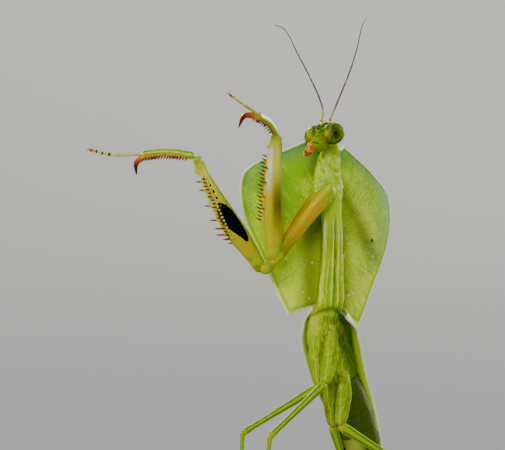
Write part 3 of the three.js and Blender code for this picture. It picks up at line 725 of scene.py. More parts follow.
def skin_finish(name, warm=0.5, bright=0.0, crest=0.6, shade=2.0):
    """Lime skin that turns yellower with "warm", with cream on the tops of folds as a painted
    highlight, as strongly as "crest" says, and deep green in their bottoms and towards the back as
    painted shade.  "bright" lightens the part before the fore legs, partly its own colour and partly
    a painted glow of light through it, and whitens its folds with painted glints, and paints the right
    half of the middle breast lemon as light and its left half olive as shade.  The left flank is deep
    green from the share "shade" on, as painted shade."""
    f = Finish(name)
    cloud, fine = f.noise(1.6, 3), f.noise(0.28, 3)
    raised = f.lift * (1 / size("folds"))
    strand = f.noise(1.0, 3, f.vector(f.y * 7.0 + f.x * 9.0, f.z * 7.0, f.x * 14.0), unitless=True)
    colour = f.mix(ink("leaf"), ink("lime"), f.span(cloud, 0.3, 0.6))
    colour = f.mix(colour, ink("apple"), f.span(strand, 0.48, 0.66) * 0.7)
    colour = f.mix(colour, ink("moss"), f.span(strand, 0.46, 0.32) * 0.35)
    blotch = f.span(cloud + (fine - 0.5) * 0.5, 0.7 - 0.3 * warm, 0.9 - 0.2 * warm)
    colour = f.mix(colour, ink("khaki"), blotch * (0.7 * warm))
    # The part before the fore legs is lightened, partly its own colour and partly a painted glow of light
    # through it; the middle breast gets painted light in lemon on its right half and painted shade in olive
    # on its left.
    colour = f.mix(colour, ink("apple"), f.span(f.x, 0.42, 0.28) * bright)
    colour = f.mix(colour, ink("lemon"), f.near(f.x, 0.72, 0.09) * f.span(f.y, -0.45, -0.75) * bright)
    colour = f.mix(colour, ink("olive"), f.near(f.x, 0.78, 0.12) * f.span(f.y, -0.6, -0.3) * (bright * 0.4))
    # Painted shade in the bottoms of the folds.
    colour = f.mix(colour, ink("deep"), f.span(raised, 0.0, -1.1) * 0.6)
    # Painted highlight: cream on the fold tops, and white glints on the highest folds before the fore legs.
    front = f.span(f.x, 0.45, 0.38) * bright
    fold = f.mix(ink("cream"), f.mix(ink("apple"), ink("rim"), 0.4), front)
    colour = f.mix(colour, fold, f.span(raised + (fine - 0.5) * 0.9, 0.2, 1.0) * crest)
    colour = f.mix(colour, ink("rim"), f.span(raised + (fine - 0.5) * 1.2, 0.8, 1.3) * front * crest)
    # Painted shade: the left flank turns deep green from the share "shade" on.
    flank = f.span(f.y, 0.0, 0.5) * f.span(f.x, shade - 0.2, shade + 0.1)
    colour = f.mix(colour, ink("deep"), flank * 0.8)
    # Painted shade on the back side, away from the belly.
    colour = f.mix(colour, ink("deep"), f.span(f.z, 0.15, -0.6) * 0.6)
    return f.done(colour, 0.32 + 0.18 * fine, f.noise(0.16, 2) + fine * 0.6, size("grain"), coat=0.05,
                  coat_roughness=0.12, glow=0.15, specular=0.0)


def make_body():
    """Limb down body_table's points.  Its belly turns from the shield's to the trunk's between the
    tenth point and the twelfth."""
    rows = body_table()
    line = Line([row[0] for row in rows])
    shares = line.shares()
    wide, deep = (profile(*zip(shares, [row[k] for row in rows])) for k in (1, 2))
    turn = (shares[9], shares[11])
    form = limb(line, wide, deep, lambda t: mix(BELLY, TRUNK_BELLY, ease(*turn, t)), 400, 144, 0.7,
                body_relief)
    # The breast gets its painted glow, light, shade and highlights from bright and crest, and painted shade
    # on its left flank from 0.75 of its length.
    skin = skin_finish("breast_skin", bright=0.8, crest=0.7, shade=0.75)
    piece("breast", [(form, skin)], ["neck", "prothorax", "mesothorax", "metathorax"])


# ---- head --------------------------------------------------------------------------

def head_bow(p, local):
    """Half sizes of the capsule by the direction p: the face is flat and broad, and below the eyes
    it narrows, deepens backwards into the cheeks and runs forward to a blunt end over the mouth."""
    low, front = np.clip(-p[..., 2], 0, 1), p[..., 1] > 0
    blunt = 1 + 0.4 * ease(0.5, 1, low)
    wide = mix(1.85, 1.2, ease(0, 0.95, low))
    deep = np.where(front, 1.28 * (1.35 - 0.35 * p[..., 1] ** 2), mix(1.28, 1.8, ease(0, 0.75, low)))
    tall = np.where(p[..., 2] > 0, 1.62, 3.7)
    lift = np.linalg.norm(local, axis=-1) - 1
    return np.stack((p[..., 0] * (wide * blunt + lift), p[..., 1] * (deep * blunt + lift) + 1.2 * low ** 2,
                     p[..., 2] * (tall + lift)), -1)


def head_relief(p):
    """Plates of the face: the swollen plate over the mouth with its upper edge and the groove
    below it, two seams running from the feelers' roots down beside it, four furrows over the
    crown and fine wrinkles all over."""
    a, c, face = p[..., 0], p[..., 2], ease(0, 0.5, p[..., 1])
    edge = hump(c + 0.16 - 0.35 * np.abs(a), 0, 0.05) * ease(0.75, 0.5, np.abs(a))
    seams = hump(np.abs(a), 0.26 + 0.35 * ease(0.5, -0.8, c), 0.045)
    seams *= ease(0.7, 0.4, c) * ease(-0.9, -0.5, c)
    middle = hump(a, 0, 0.22) * hump(c, -0.32, 0.2)
    lip = hump(c, -0.8, 0.05)
    crown = sum(hump(a, k, 0.04) for k in (-0.5, -0.17, 0.17, 0.5)) * ease(0.45, 0.75, c)
    return face * (0.06 * edge + 0.05 * seams + 0.08 * middle - 0.1 * lip) - 0.05 * crown \
        + 0.014 * creased(p * (1.5, 1, 1), 0.3, 4)


def head_finish():
    """Moss green capsule with lime clouds and lemon creases, khaki on the cheeks, deep green over
    the crown, lime on raised edges as a painted highlight and olive in the grooves as painted shade."""
    f = Finish("head_capsule")
    fine, cloud = f.noise(0.2, 3), f.noise(0.8, 3)
    crease = f.span(f.noise(0.35, 3, f.stretched(f.spot, (1.0, 1.0, 0.5))), 0.5, 0.68)
    colour = f.mix(ink("moss"), ink("lime"), f.span(cloud + (fine - 0.5) * 0.5, 0.5, 0.8) * 0.4)
    colour = f.mix(colour, ink("khaki"), f.span(f.z + (cloud - 0.5) * 0.6, -0.15, -0.7) * 0.8)
    colour = f.mix(colour, ink("lime"), f.span(f.z, -0.4, -0.9) * 0.4)
    colour = f.mix(colour, ink("lemon"), crease * 0.28)
    colour = f.mix(colour, ink("deep"), f.span(f.z, -0.2, 0.6) * 0.55)
    # Painted highlight on raised edges and painted shade in the grooves.
    colour = f.mix(colour, ink("lime"), f.span(f.lift, 0.02, 0.09) * 0.5)
    colour = f.mix(colour, ink("olive"), f.span(f.lift, -0.01, -0.06) * 0.6)
    return f.done(colour, 0.42 + 0.16 * fine, fine, size("grain"), coat=0.0, specular=0.0)


def dome_finish(name, shade, edge, coat=0.8):
    """Glossy bead, painted lighter on top as a highlight and darker at its foot as shade."""
    f = Finish(name)
    colour = f.mix(ink(edge), ink(shade), f.span(f.z + f.noise(0.2, 2) * 0.4, 0.1, 0.5))
    return f.done(colour, 0.25, f.noise(0.1, 1), 0.01, coat=coat)


def make_head():
    """Capsule: a ball shaped by head_bow and head_relief, with three small eyes on the crown as
    balls and a short limb as the collar of each feeler."""
    capsule = ball(HEAD_AT, HEAD, (1, 1, 1), 130, 150, head_relief, head_bow)
    skin = head_finish()
    beads = [ball(on_head(a, b, c), HEAD, (0.16, 0.14, 0.17), 14, 18)
             for a, b, c in ((-0.3, 1.08, 1.05), (0.3, 1.08, 1.05), (0, 1.22, 0.75))]
    thick = profile((0, 0.3), (0.55, 0.36), (0.8, 0.33), (1, 0.24))
    collars = [limb((on_head(0.78 * k, 0.5, 1.2), on_head(0.8 * k, 0.66, 1.68)), thick, rows=20, cols=24)
               for k in (1, -1)]
    glossy, pale = dome_finish("ocelli", "cream", "lemon"), dome_finish("feeler_sockets", "rim", "lemon", 0.4)
    parts = [(capsule, skin)] + [(bead, glossy) for bead in beads] + [(collar, pale) for collar in collars]
    piece("head_shell", parts, ["head"])


# ---- eyes --------------------------------------------------------------------------

EYE, EYE_AT = (1.85, 1.58, 1.66), (1.66, -0.12, -0.27)      # half sizes, and place on the head
EYE_SPOT = (0.754, 0.511, -0.413)                           # direction of the black spot


def eye_finish(name, side, dusky):
    """Eye of tiny facets: yellow-green towards the face with a khaki patch, green above, a painted
    highlight that lightens its outer end, and a black spot whose surround is darkened by "dusky"."""
    f = Finish(f"eye_{name}")
    out, front, up = f.x * side, f.y, f.z

    def away(a, b, c):
        """Distance on the unit ball from the direction (a, b, c)."""
        return f.math("SQRT", (out - a) ** 2 + (front - b) ** 2 + (up - c) ** 2)

    band = f.noise(0.5, 2, f.stretched(f.spot, (1.0, 1.0, 0.35)))
    facets = f.cells(0.055, "DISTANCE_TO_EDGE")
    colour = f.mix(ink("moss"), ink("lime"), f.span(band, 0.35, 0.7) * (0.85 - 0.6 * dusky))
    # Painted highlight on the eye's outer end.
    colour = f.mix(colour, ink("lime"), f.span(out, 0.62, 0.95) * 0.35)
    uneven, spot = (band - 0.5) * 0.4, away(*EYE_SPOT)
    colour = f.mix(colour, ink("olive"), f.span(spot + uneven, 0.75, 0.25) * dusky)
    colour = f.mix(colour, ink("khaki"), f.span(away(0.1, 0.82, -0.56) + uneven, 0.62, 0.2) * 0.8)
    colour = f.mix(colour, ink("lemon"), f.span(away(0.0, 0.84, -0.5), 0.35, 0.1) * 0.3)
    colour = f.mix(colour, ink("deep"), f.span(up, 0.3, 0.9) * 0.4)
    colour = f.mix(colour, ink("soot"), f.span(spot, 0.15, 0.09))
    return f.done(colour, 0.38, f.span(facets, 0.0, 0.3), 0.001, coat=0.12, coat_roughness=0.05,
                  specular=0.0)


def make_eyes():
    """Each eye is one ball with the half sizes EYE."""
    for name, side in SIDES:
        form = ball(on_head(side * EYE_AT[0], *EYE_AT[1:]), HEAD, EYE, 72, 84)
        skin = eye_finish(name, side, 0.8 if side > 0 else 0.0)
        piece(f"{name}_eye", [(form, skin)], [f"eye_{name}"])


# ---- mouth -------------------------------------------------------------------------

def mouth_finish():
    """Wet lip and jaws: flame red with dark red and ochre blotches, and fine pale flecks painted as glints.
    """
    f = Finish("mouthparts_skin")
    blotch, fine = f.noise(0.45, 3), f.noise(0.12, 2)
    colour = f.mix(ink("flame"), ink("blood"), f.span(blotch, 0.55, 0.7) * 0.8)
    colour = f.mix(colour, ink("ochre"), f.span(blotch, 0.54, 0.4))
    # Painted glints: fine pale flecks.
    colour = f.mix(colour, ink("rim"), f.span(fine, 0.6, 0.72) * 0.35)
    return f.done(colour, 0.34 + 0.2 * fine, fine, size("grain") * 1.5, coat=0.08, coat_roughness=0.1,
                  specular=0.08)


def palp(points, thick, joints):
    """Short jointed feeler beside the mouth, as a limb whose joints swell towards their ends."""
    def half(t):
        """Half thickness: 0.72 of the full one at a joint's start and all of it at its end."""
        step = t * joints % 1
        return thick * (0.72 + 0.28 * step ** 0.6) * np.where(t > 0.97, 0.9, 1)
    return limb([on_head(*p) for p in points], half, rows=60, cols=16)


def lip_relief(p):
    """Low ridges down the front of the lip."""
    return 0.04 * np.cos(9 * p[..., 0]) * ease(-0.2, 0.5, p[..., 1])


def jaw_relief(p):
    """Small uneven bumps all over a jaw."""
    return 0.05 * ripple(p, 0.4, 6)


def make_mouth():
    """The lip and the two jaws are balls, and two pairs of palps hang beside them."""
    forms = [ball(on_head(0, 2.0, -3.7), HEAD, (0.46, 0.42, 0.75), 44, 48, lip_relief)]
    for k in (1, -1):
        forms.append(ball(on_head(0.3 * k, 1.8, -4.15), HEAD, (0.32, 0.5, 0.75), 36, 40, jaw_relief))
        forms.append(palp(((0.5 * k, 1.5, -3.9), (0.7 * k, 1.9, -4.5), (0.58 * k, 2.15, -4.9),
                           (0.3 * k, 2.05, -5.4)), 0.2, 4))
        forms.append(palp(((0.25 * k, 1.4, -4.4), (0.34 * k, 1.6, -4.95), (0.16 * k, 1.85, -5.3)), 0.16, 3))
    skin = mouth_finish()
    piece("lip_jaws_palps", [(form, skin) for form in forms], ["mouthparts"])


# ---- feelers -----------------------------------------------------------------------

FEELERS = {
    "left": (on_head(0.8, 0.6, 1.55), (0.62, -1.2, 66.3), (1.8, -1.6, 69.15), (3.15, -2.1, 72.5),
             (4.2, -2.6, 75.8), (5.2, -3.1, 79.8), (6.1, -3.3, 81.1)),
    "right": (on_head(-0.8, 0.6, 1.55), (-0.72, -0.5, 66.7), (-1.35, -0.8, 68.9), (-2.6, -1.2, 71.6),
              (-4.5, -1.8, 75.2), (-6.55, -2.4, 78.95), (-8.2, -2.8, 79.65)),
}
FEELER_BEADS = 64


def feeler_half(t):
    """A stout first joint, then beads that shrink along the thread."""
    thick = size("feeler")
    thread = thick * (1.25 - 0.8 * t) * (1 + 0.09 * np.cos(2 * np.pi * FEELER_BEADS * t))
    return thread + 0.8 * thick * ease(0.055, 0.035, t) - 0.25 * thick * hump(t, 0.05, 0.008)


def feeler_finish():
    """Yellow at the root, then plum brown, greying towards the tip, a dark ring at each joint."""
    f = Finish("feeler_skin")
    ring = f.math("COSINE", f.x * (2 * np.pi * FEELER_BEADS))
    colour = f.mix(ink("straw"), ink("dusk"), f.span(f.x, 0.06, 0.2))
    colour = f.mix(colour, ink("soot"), f.span(ring, -0.2, -0.95) * 0.45)
    colour = f.mix(colour, ink("rim"), f.span(f.noise(0.9, 2), 0.5, 0.8) * 0.25)
    return f.done(colour, 0.5, f.noise(0.06, 2), 0.008, coat=0.15)


def make_feelers():
    """Each feeler is a limb along its points, as thick as feeler_half says."""
    skin = feeler_finish()
    for name, path in FEELERS.items():
        form = limb(path, feeler_half, rows=560, cols=12)
        piece(f"{name}_feeler", [(form, skin)], [f"antenna_{name}"])


# ---- abdomen -----------------------------------------------------------------------

ABDOMEN_FROM, RING_LAP = 0.345, 0.02    # shares of the trunk: start, and each ring's reach into the last
PLAIN_RINGS = 3         # rings in front whose belly plates have no pale middle
ABDOMEN_HALF = profile((0.33, 3.0), (0.45, 3.3), (0.62, 3.3), (0.78, 2.7), (0.92, 1.7), (1, 1.0))


def ring_edge(k):
    """Share of the trunk at which ring k starts: from ABDOMEN_FROM to the end, the first ring a
    little the longest."""
    return mix(ABDOMEN_FROM, 1, (k / RINGS) ** 0.97)


def ring_relief(points, t, a):
    """Thin raised hind lip on each ring, a crease along either flank between back and belly
    plates, and fine folds that fan out of the crease."""
    flank = turned(2 * a, 0) / 2
    fan = creased(np.stack((np.cos(a) * 3.4, np.sin(a) * 2.2, t * 1.1), -1), 0.9, 7)
    return 0.07 * hump(t, 0.93, 0.035) - 0.12 * hump(flank - 0.4, 0, 0.07) + 0.035 * fan


def abdomen_finish(name, pale):
    """Moss green belly plates that are creamy in the middle by "pale" as painted light, dark olive
    flanks and a deep green back painted as the wings' shade, green hind lips, folds darkened as
    painted shade and a black dot on either side of a ring."""
    f = Finish(name)
    fine, cloud = f.noise(0.3, 3), f.noise(1.4, 3)
    flank = f.math("ABSOLUTE", f.y)
    # Painted shade: the flanks are dark olive, the shadow of the wings.
    belly = f.span(f.z + (cloud - 0.5) * 0.5, 0.45, 0.98)
    colour = f.mix(f.mix(ink("olive"), ink("khaki"), 0.55), ink("moss"), belly * 0.8)
    colour = f.mix(colour, ink("khaki"), f.span(fine, 0.5, 0.7) * 0.35)
    # Painted light: cream on the middle of the belly plates, as strongly as "pale" says.
    colour = f.mix(colour, ink("cream"), f.span(f.y, 0.1, -0.4) * f.span(f.z, 0.3, 0.8) * pale)
    # Painted shade on the back, under the wings.
    colour = f.mix(colour, ink("deep"), f.span(f.z, 0.0, -0.6) * 0.6)
    colour = f.mix(colour, ink("lime"), f.near(f.x, 0.93, 0.05) * 0.4)
    colour = f.mix(colour, ink("soot"), f.near(f.x, 0.82, 0.06) * 0.3)
    # Painted shade in the folds.
    colour = f.mix(colour, ink("soot"), f.span(f.lift, -0.03, -0.13) * 0.4)
    dot = f.math("SQRT", ((f.x - 0.55) * 1.2) ** 2 + (flank - 0.93) ** 2 + (f.z - 0.37) ** 2)
    colour = f.mix(colour, ink("soot"), f.span(dot, 0.13, 0.07))
    return f.done(colour, 0.36 + 0.2 * fine, fine + cloud, size("grain"), coat=0.0, specular=0.06)


def make_abdomen():
    """Each ring is a limb along its stretch of the trunk, a little over its neighbour in front
    and flatter than it is wide."""
    # The hind rings get the painted light on their belly plates.
    front, rear = abdomen_finish("abdomen_front_shell", 0.0), abdomen_finish("abdomen_rear_shell", 0.5)
    for k in range(RINGS):
        start, end = ring_edge(k) - (RING_LAP if k else 0), ring_edge(k + 1)

        def flare(t, start=start, end=end):
            """Half width: the abdomen's own, wider towards the ring's hind lip."""
            return ABDOMEN_HALF(mix(start, end, t)) + 0.16 * (t - 0.7)

        path = Line([TRUNK(np.array(mix(start, end, n / 3))) for n in range(4)])
        belly, shell = trunk_belly(np.array((start + end) / 2)), front if k < PLAIN_RINGS else rear
        form = limb(path, flare, lambda t, flare=flare: 0.6 * flare(t) + 0.1, belly, 64, 112, 0.14,
                    ring_relief)
        piece(f"belly_ring_{k + 1}", [(form, shell)], [f"abdomen_ring_{k + 1}"])


def make_cerci():
    """Each tail feeler is a ringed limb that runs out and back from the last ring's side."""
    skin = leg_finish("cerci_skin")
    for name, k in SIDES:
        end, centre = np.array(1.0), TRUNK(np.array(0.965))
        ahead, belly = TRUNK.heading(end), trunk_belly(end)
        side = np.cross(belly, ahead) * k
        root = centre + 0.75 * side - 0.1 * belly
        path = (root, root + 0.9 * side + 1.3 * ahead, root + 1.35 * side + 2.6 * ahead - 0.3 * belly)
        form = limb(path, lambda t: 0.3 * (1 - 0.35 * t) * (1 + 0.12 * np.cos(2 * np.pi * 9 * t)),
                    rows=90, cols=20)
        piece(f"{name}_cercus", [(form, skin)], [f"cercus_{name}"])


# ---- fore wings --------------------------------------------------------------------

# Along the trunk: how far the wing reaches, as a share of its half width and height, and the angle
# of its low front edge on either side.
WING_REACH = profile((0, 0.6), (0.05, 0.9), (0.12, 1.05), (0.25, 1.0), (0.45, 0.88), (0.75, 0.72),
                     (0.92, 0.5), (1, 0.22))
WING_LOW = {1: profile((0, -0.8), (0.12, -0.5), (0.3, -0.25), (0.6, -0.1), (1, 0.1)),
            -1: profile((0, 0.0), (0.1, 0.12), (0.3, 0.14), (0.6, 0.1), (1, 0.1))}
WING_LINE = 0.045       # share of the trunk at which the wings start
WING_HALF, WING_RISE = 4.35, 3.3    # half width, and height over the trunk
WING_FLARE = 0.8        # how far the front edge stands out


def wing_spot(side, s, q):
    """Leaf-like cover wrapped round the back: at share s of the trunk it stands off the middle by
    reach(s), and q turns it from its low front edge beside the belly up over the back.  The strip
    along the front edge flares outwards."""
    t = mix(WING_LINE, 1, s * 0.985)
    ahead, belly = TRUNK.heading(t), trunk_belly(t)
    aside = np.cross(belly, ahead)
    past = ahead * (1.4 * ease(0.85, 1, s))[..., None] + aside * (0.35 * (1 - ease(0.3, 0.7, s)))[..., None]
    top = mix(1.05, np.pi / 2 + 0.22 * (1 - s), ease(0, 0.14, s))
    turn = mix(WING_LOW[side](s), top, q)
    lie, reach = ease(0.5, 1.15, turn) * side * 0.4, WING_REACH(s)
    rise = (WING_RISE * (0.35 + 0.65 * reach) + lie) * np.sin(turn)
    flare = WING_FLARE * ease(0, 0.1, s) * (np.clip(1 - q / 0.17, 0, 1) ** 1.4 - 1)
    flare *= np.clip(np.cos(turn), 0, 1)
    return TRUNK(t) + past + aside * (side * (WING_HALF * reach * np.cos(turn) + flare))[..., None] \
        - belly * rise[..., None]


def wing_finish(name, shade):
    """Green cover with raised veins along it and a net between them.  Its front edge is pale with
    a fine orange line behind, and its inner face has a painted glow of light through the wing, the
    stronger the lower "shade" is, and painted shade as dark as "shade" says, with one pale vein near
    the edge.  The pale border is the wider the less shaded the wing is: partly its own pale edge and
    partly painted light along it."""
    f = Finish(f"{name}_fore_wing_skin")
    s, q, e = f.x, f.y, f.math("ABSOLUTE", f.z)
    inside = f.span(f.z, 0.05, -0.05)
    cloud, fine = f.noise(1.8, 3), f.noise(0.3, 2)
    winding = f.noise(1.0, 1, f.vector(s * 4.0, q * 2.0, 0.0), unitless=True)
    fan = q * 9.0 + f.span(s, 0.0, 0.6) * 2.0 + winding * 0.8
    main = f.span(f.math("COSINE", fan * (2 * np.pi)), 0.72, 0.98)
    meshes = f.cells(1.0, "DISTANCE_TO_EDGE", f.vector(s * 52.0, q * 12.0, 0.0), unitless=True)
    net = f.span(meshes, 0.14, 0.02)
    colour = f.mix(ink("leaf"), ink("lime"), f.span(cloud, 0.35, 0.7) * 0.7)
    colour = f.mix(colour, ink("lemon"), (main * 0.6 + net * 0.25) * 0.7)
    # Painted glow of light through the wing on its inner face.
    colour = f.mix(colour, ink("cream"), inside * (0.9 - shade))
    # Painted shade on the inner face.
    colour = f.mix(colour, ink("deep"), inside * f.span(e, 1.0, 1.7) * (0.6 * shade))
    front = f.span(q, 0.5, 0.0)
    colour = f.mix(colour, ink("rim"), f.near(e, 1.6, 0.2) * inside * front * shade)
    colour = f.mix(colour, ink("lemon"), f.span(e, 1.4, 0.9) * front * (0.2 + 0.7 * shade))
    colour = f.mix(colour, ink("ochre"), f.near(e, 0.9, 0.2) * front * (0.25 + 0.6 * inside) * shade)
    # The pale border: the wing's own pale edge, widened as painted light on the less shaded wing.
    border = 0.56 - 0.34 * shade
    colour = f.mix(colour, ink("rim"), f.span(e, border, border * 0.45) * (0.35 + front * 0.6))
    height = main * 0.8 + net * 0.5 + fine * 0.3
    return f.done(colour, 0.4 + 0.2 * fine, height, size("veins"), coat=0.0, glow=0.25, specular=0.06)


def make_wings():
    """Each wing is a plate over wing_spot, 0.36 mm thick with its edge closed over 0.25 mm."""
    for name, side in SIDES:
        # The left wing is painted as shaded and the right one as lit through.
        skin = wing_finish(name, 0.85 if side > 0 else 0.1)
        form = plate(lambda s, q, side=side: wing_spot(side, s, q), 0.36, 220, 110, 0.25, front=side)
        piece(f"{name}_fore_wing", [(form, skin)], [f"tegmen_{name}"])


# ---- grasping legs -----------------------------------------------------------------

# Points: hip, elbow (hinge of the two joints), root and knee of the thigh, wrist, claw tip, toe.
# under and arch point out of the thigh's lower edge and the shin's bow; nudge and bulge shift the
# middle of the upper joint and of the claw.  lift starts the foot off the wrist and sag drops its
# middle; bow bends the thigh; inner is the side of its inner face; slim narrows it to the knee
# and heel lengthens its root.  comb counts the shin's teeth and feet says where the thigh's teeth
# are rooted, from first to last.  fangs are the long spines: share of the thigh, and reach beyond
# its edge; row says how far down the flank they are rooted and bite how long the teeth are.
# stout thickens the foot.  orange and dark are shares of colours, and cream is how strongly the
# shin is painted pale as a highlight and round which height of its flank.
GRASPERS = {
    "left": dict(hip=(1.1, -2.3, 55.0), elbow=(-8.2, -9.9, 44.3), root=(-8.2, -9.8, 45.4),
                 knee=(-7.85, -8.2, 63.3), wrist=(-10.6, -15.4, 65.8), claw=(-13.4, -17.6, 63.8),
                 toe=(-14.9, -19.6, 68.85), lift=0.12, sag=0.0, bow=0.2, inner=-1, slim=1.0,
                 heel=1.3, comb=11, cream=(1.0, 0.5), nudge=(-0.5, 0, 0.42), under=(-1, -0.35, 0.1),
                 arch=(0.5, 0.25, 0.85), bulge=(-0.6, 0, 0.75), feet=(0.8, 0.75),
                 fangs=((0.36, 0.4), (0.46, 0.45), (0.58, 0.4), (0.7, 0.35)), row=0.95, bite=1.15,
                 stout=1.3, orange=0.2, dark=0.35),
    "right": dict(hip=(-1.9, -2.5, 54.8), elbow=(-9.2, -7.5, 43.3), root=(-10.75, -7.6, 44.4),
                  knee=(-19.75, -9.2, 59.9), wrist=(-27.6, -9.7, 60.2), claw=(-28.45, -9.9, 57.05),
                  toe=(-35.8, -9.9, 60.85), lift=-0.05, sag=-0.45, bow=0.6, inner=1, slim=0.78,
                  heel=1.9, comb=17, cream=(0.08, 0.0), nudge=(0.45, 0, -0.35), under=(-0.88, -0.2, -0.42),
                  arch=(0.1, 0.1, 1), bulge=(-0.45, 0, 0.1), feet=(0.7, -0.05),
                  fangs=((0.22, 0.6), (0.26, 1.0), (0.305, 1.7), (0.365, 1.3), (0.445, 1.25),
                         (0.575, 0.95), (0.715, 0.85), (0.79, 0.75)), row=0.72, bite=0.85,
                  stout=1.0, orange=1.0, dark=0.95),
}
# Half depth of a grasping leg's thigh, from its root to the knee.
THIGH = profile((0, 1.0), (0.1, 1.2), (0.28, 1.52), (0.45, 1.42), (0.62, 1.2), (0.8, 1.0), (0.92, 0.95),
                (1, 0.72))
TEETH = 18              # small teeth in the inner row under a thigh; every third one is longer
FOOT_BREAKS = np.array((0, 0.5, 0.66, 0.78, 0.89, 1.0))     # where a foot's five joints meet


def coxa_finish(name, orange):
    """Ochre upper joint that fades to green at the hip, with a pale line along its front edge, partly
    its pale warts and partly a painted highlight on its raised parts, a flank as orange as "orange"
    says, and khaki painted as shade at its lower end."""
    f = Finish(f"fore_coxa_{name}_skin")
    fine, cloud = f.noise(0.25, 3), f.noise(1.2, 3)
    colour = f.mix(ink("lime"), ink("ochre"), f.span(f.x + (cloud - 0.5) * 0.2, 0.02, 0.38))
    colour = f.mix(colour, ink("straw"), f.span(cloud + (fine - 0.5) * 0.3, 0.42, 0.7) * 0.8)
    colour = f.mix(colour, ink("flame"), f.near(f.y, -0.8, 0.7) * f.near(f.x, 0.45, 0.4) * orange)
    # Painted shade at the lower end.
    colour = f.mix(colour, ink("khaki"), f.span(f.x, 0.6, 0.95) * 0.8)
    # Cream on the raised parts: the pale warts, and a painted highlight on the keels.
    colour = f.mix(colour, ink("cream"), f.span(f.lift, 0.08, 0.15) * 0.7)
    return f.done(colour, 0.36 + 0.2 * fine, fine, size("grain") * 1.5, coat=0.0, glow=0.05, specular=0.03)


def hinge_finish():
    """Yellow-green hinge between the upper joint and the thigh, with khaki painted as shade in its grooves.
    """
    f = Finish("fore_hinge_skin")
    fine, cloud = f.noise(0.25, 3), f.noise(0.9, 3)
    colour = f.mix(ink("lime"), ink("straw"), f.span(cloud + (fine - 0.5) * 0.4, 0.35, 0.65))
    colour = f.mix(colour, ink("khaki"), f.span(f.x, 0.5, 0.0) * 0.7)
    # Painted shade in the grooves.
    colour = f.mix(colour, ink("khaki"), f.span(f.lift, -0.01, -0.05) * 0.7)
    return f.done(colour, 0.34 + 0.2 * fine, fine, size("grain"), coat=0.08, glow=0.05, specular=0.08)


def thigh_finish(name, inner):
    """Straw thigh with an olive outer face, a green edge above and a pale band below, partly its own
    pale skin and partly a painted highlight, white on the left leg.  Its inner face has a long black
    patch, |along| ** 2.6 + |aside| ** 2.6 < 1, narrow near the hip and ragged at its wide upper
    end, and black dots beyond it."""
    f = Finish(f"fore_thigh_{name}_skin")
    fine, cloud = f.noise(0.25, 3), f.noise(0.9, 3)
    low, flank = f.y, f.z * inner
    warm = f.span(cloud + (fine - 0.5) * 0.3, 0.5, 0.75) * f.span(flank, -0.3, 0.4)
    colour = f.mix(ink("straw"), ink("ochre"), warm)
    olive_back = f.span(low, 0.7, 0.0) * f.near(f.x, 0.4, 0.34) * f.span(flank, 0.2, -0.3)
    colour = f.mix(colour, ink("olive"), olive_back * 0.75)
    colour = f.mix(colour, ink("lime"), f.span(low, -0.45, -0.9))
    # Pale band: partly the thigh's own pale skin, partly a painted highlight.
    start = 0.45 if inner < 0 else 0.3
    pale = f.span(low, 0.25, 0.75) * f.span(f.x, start, start + 0.2) * f.span(f.x, 0.95, 0.8)
    pale = pale * f.span(cloud + (fine - 0.5) * 0.8, 0.25, 0.55)
    colour = f.mix(colour, ink("rim" if inner < 0 else "cream"), pale * 0.9)
    colour = f.mix(colour, ink("cream"), f.span(f.x, 0.5, 0.8) * f.near(low, -0.2, 0.9) * 0.6)
    along = (f.x - 0.375) / 0.2
    ragged = f.noise(0.35, 3)
    wide = f.span(f.x, 0.2, 0.45)
    aside = f.math("ABSOLUTE", (low + 0.36 - 0.34 * wide) / (0.45 + 0.4 * wide))
    patch = f.math("ABSOLUTE", along) ** 2.6 + aside ** 2.6
    patch = patch + (ragged - 0.5) * (0.3 + f.span(f.x, 0.4, 0.6) * 1.6)
    black = f.span(patch, 1.02, 0.95) * f.span(flank, 0.05, 0.25)
    dots = f.near(f.math("FRACT", f.x * 17.0), 0.5, 0.3) * f.near(low, 0.0, 0.3) * f.near(f.x, 0.68, 0.13)
    black = f.math("MAXIMUM", black, f.span(dots, 0.12, 0.3) * f.span(flank, 0.3, 0.5))
    colour = f.mix(colour, ink("lime"), f.span(f.x, 0.84, 0.94) * 0.75)
    colour = f.mix(colour, ink("khaki"), f.span(f.x, 0.12, 0.0) * 0.5)
    colour = f.mix(colour, ink("soot"), black)
    return f.done(colour, 0.34 + 0.2 * fine + 0.3 * black, fine, size("grain") * 1.5,
                  coat=(1.0 - black) * 0.05, glow=0.05, specular=0.04)


def spine_finish(name, *stops):
    """Spine coloured by (share of its length, colour) from the foot to the tip."""
    f = Finish(name)
    colour = ink(stops[0][1])
    for (start, _), (end, shade) in zip(stops[:-1], stops[1:]):
        colour = f.mix(colour, ink(shade), f.span(f.x + f.noise(0.2, 1) * 0.1, start, end))
    return f.done(colour, 0.35, f.noise(0.08, 1), 0.003, coat=0.08, specular=0.15)


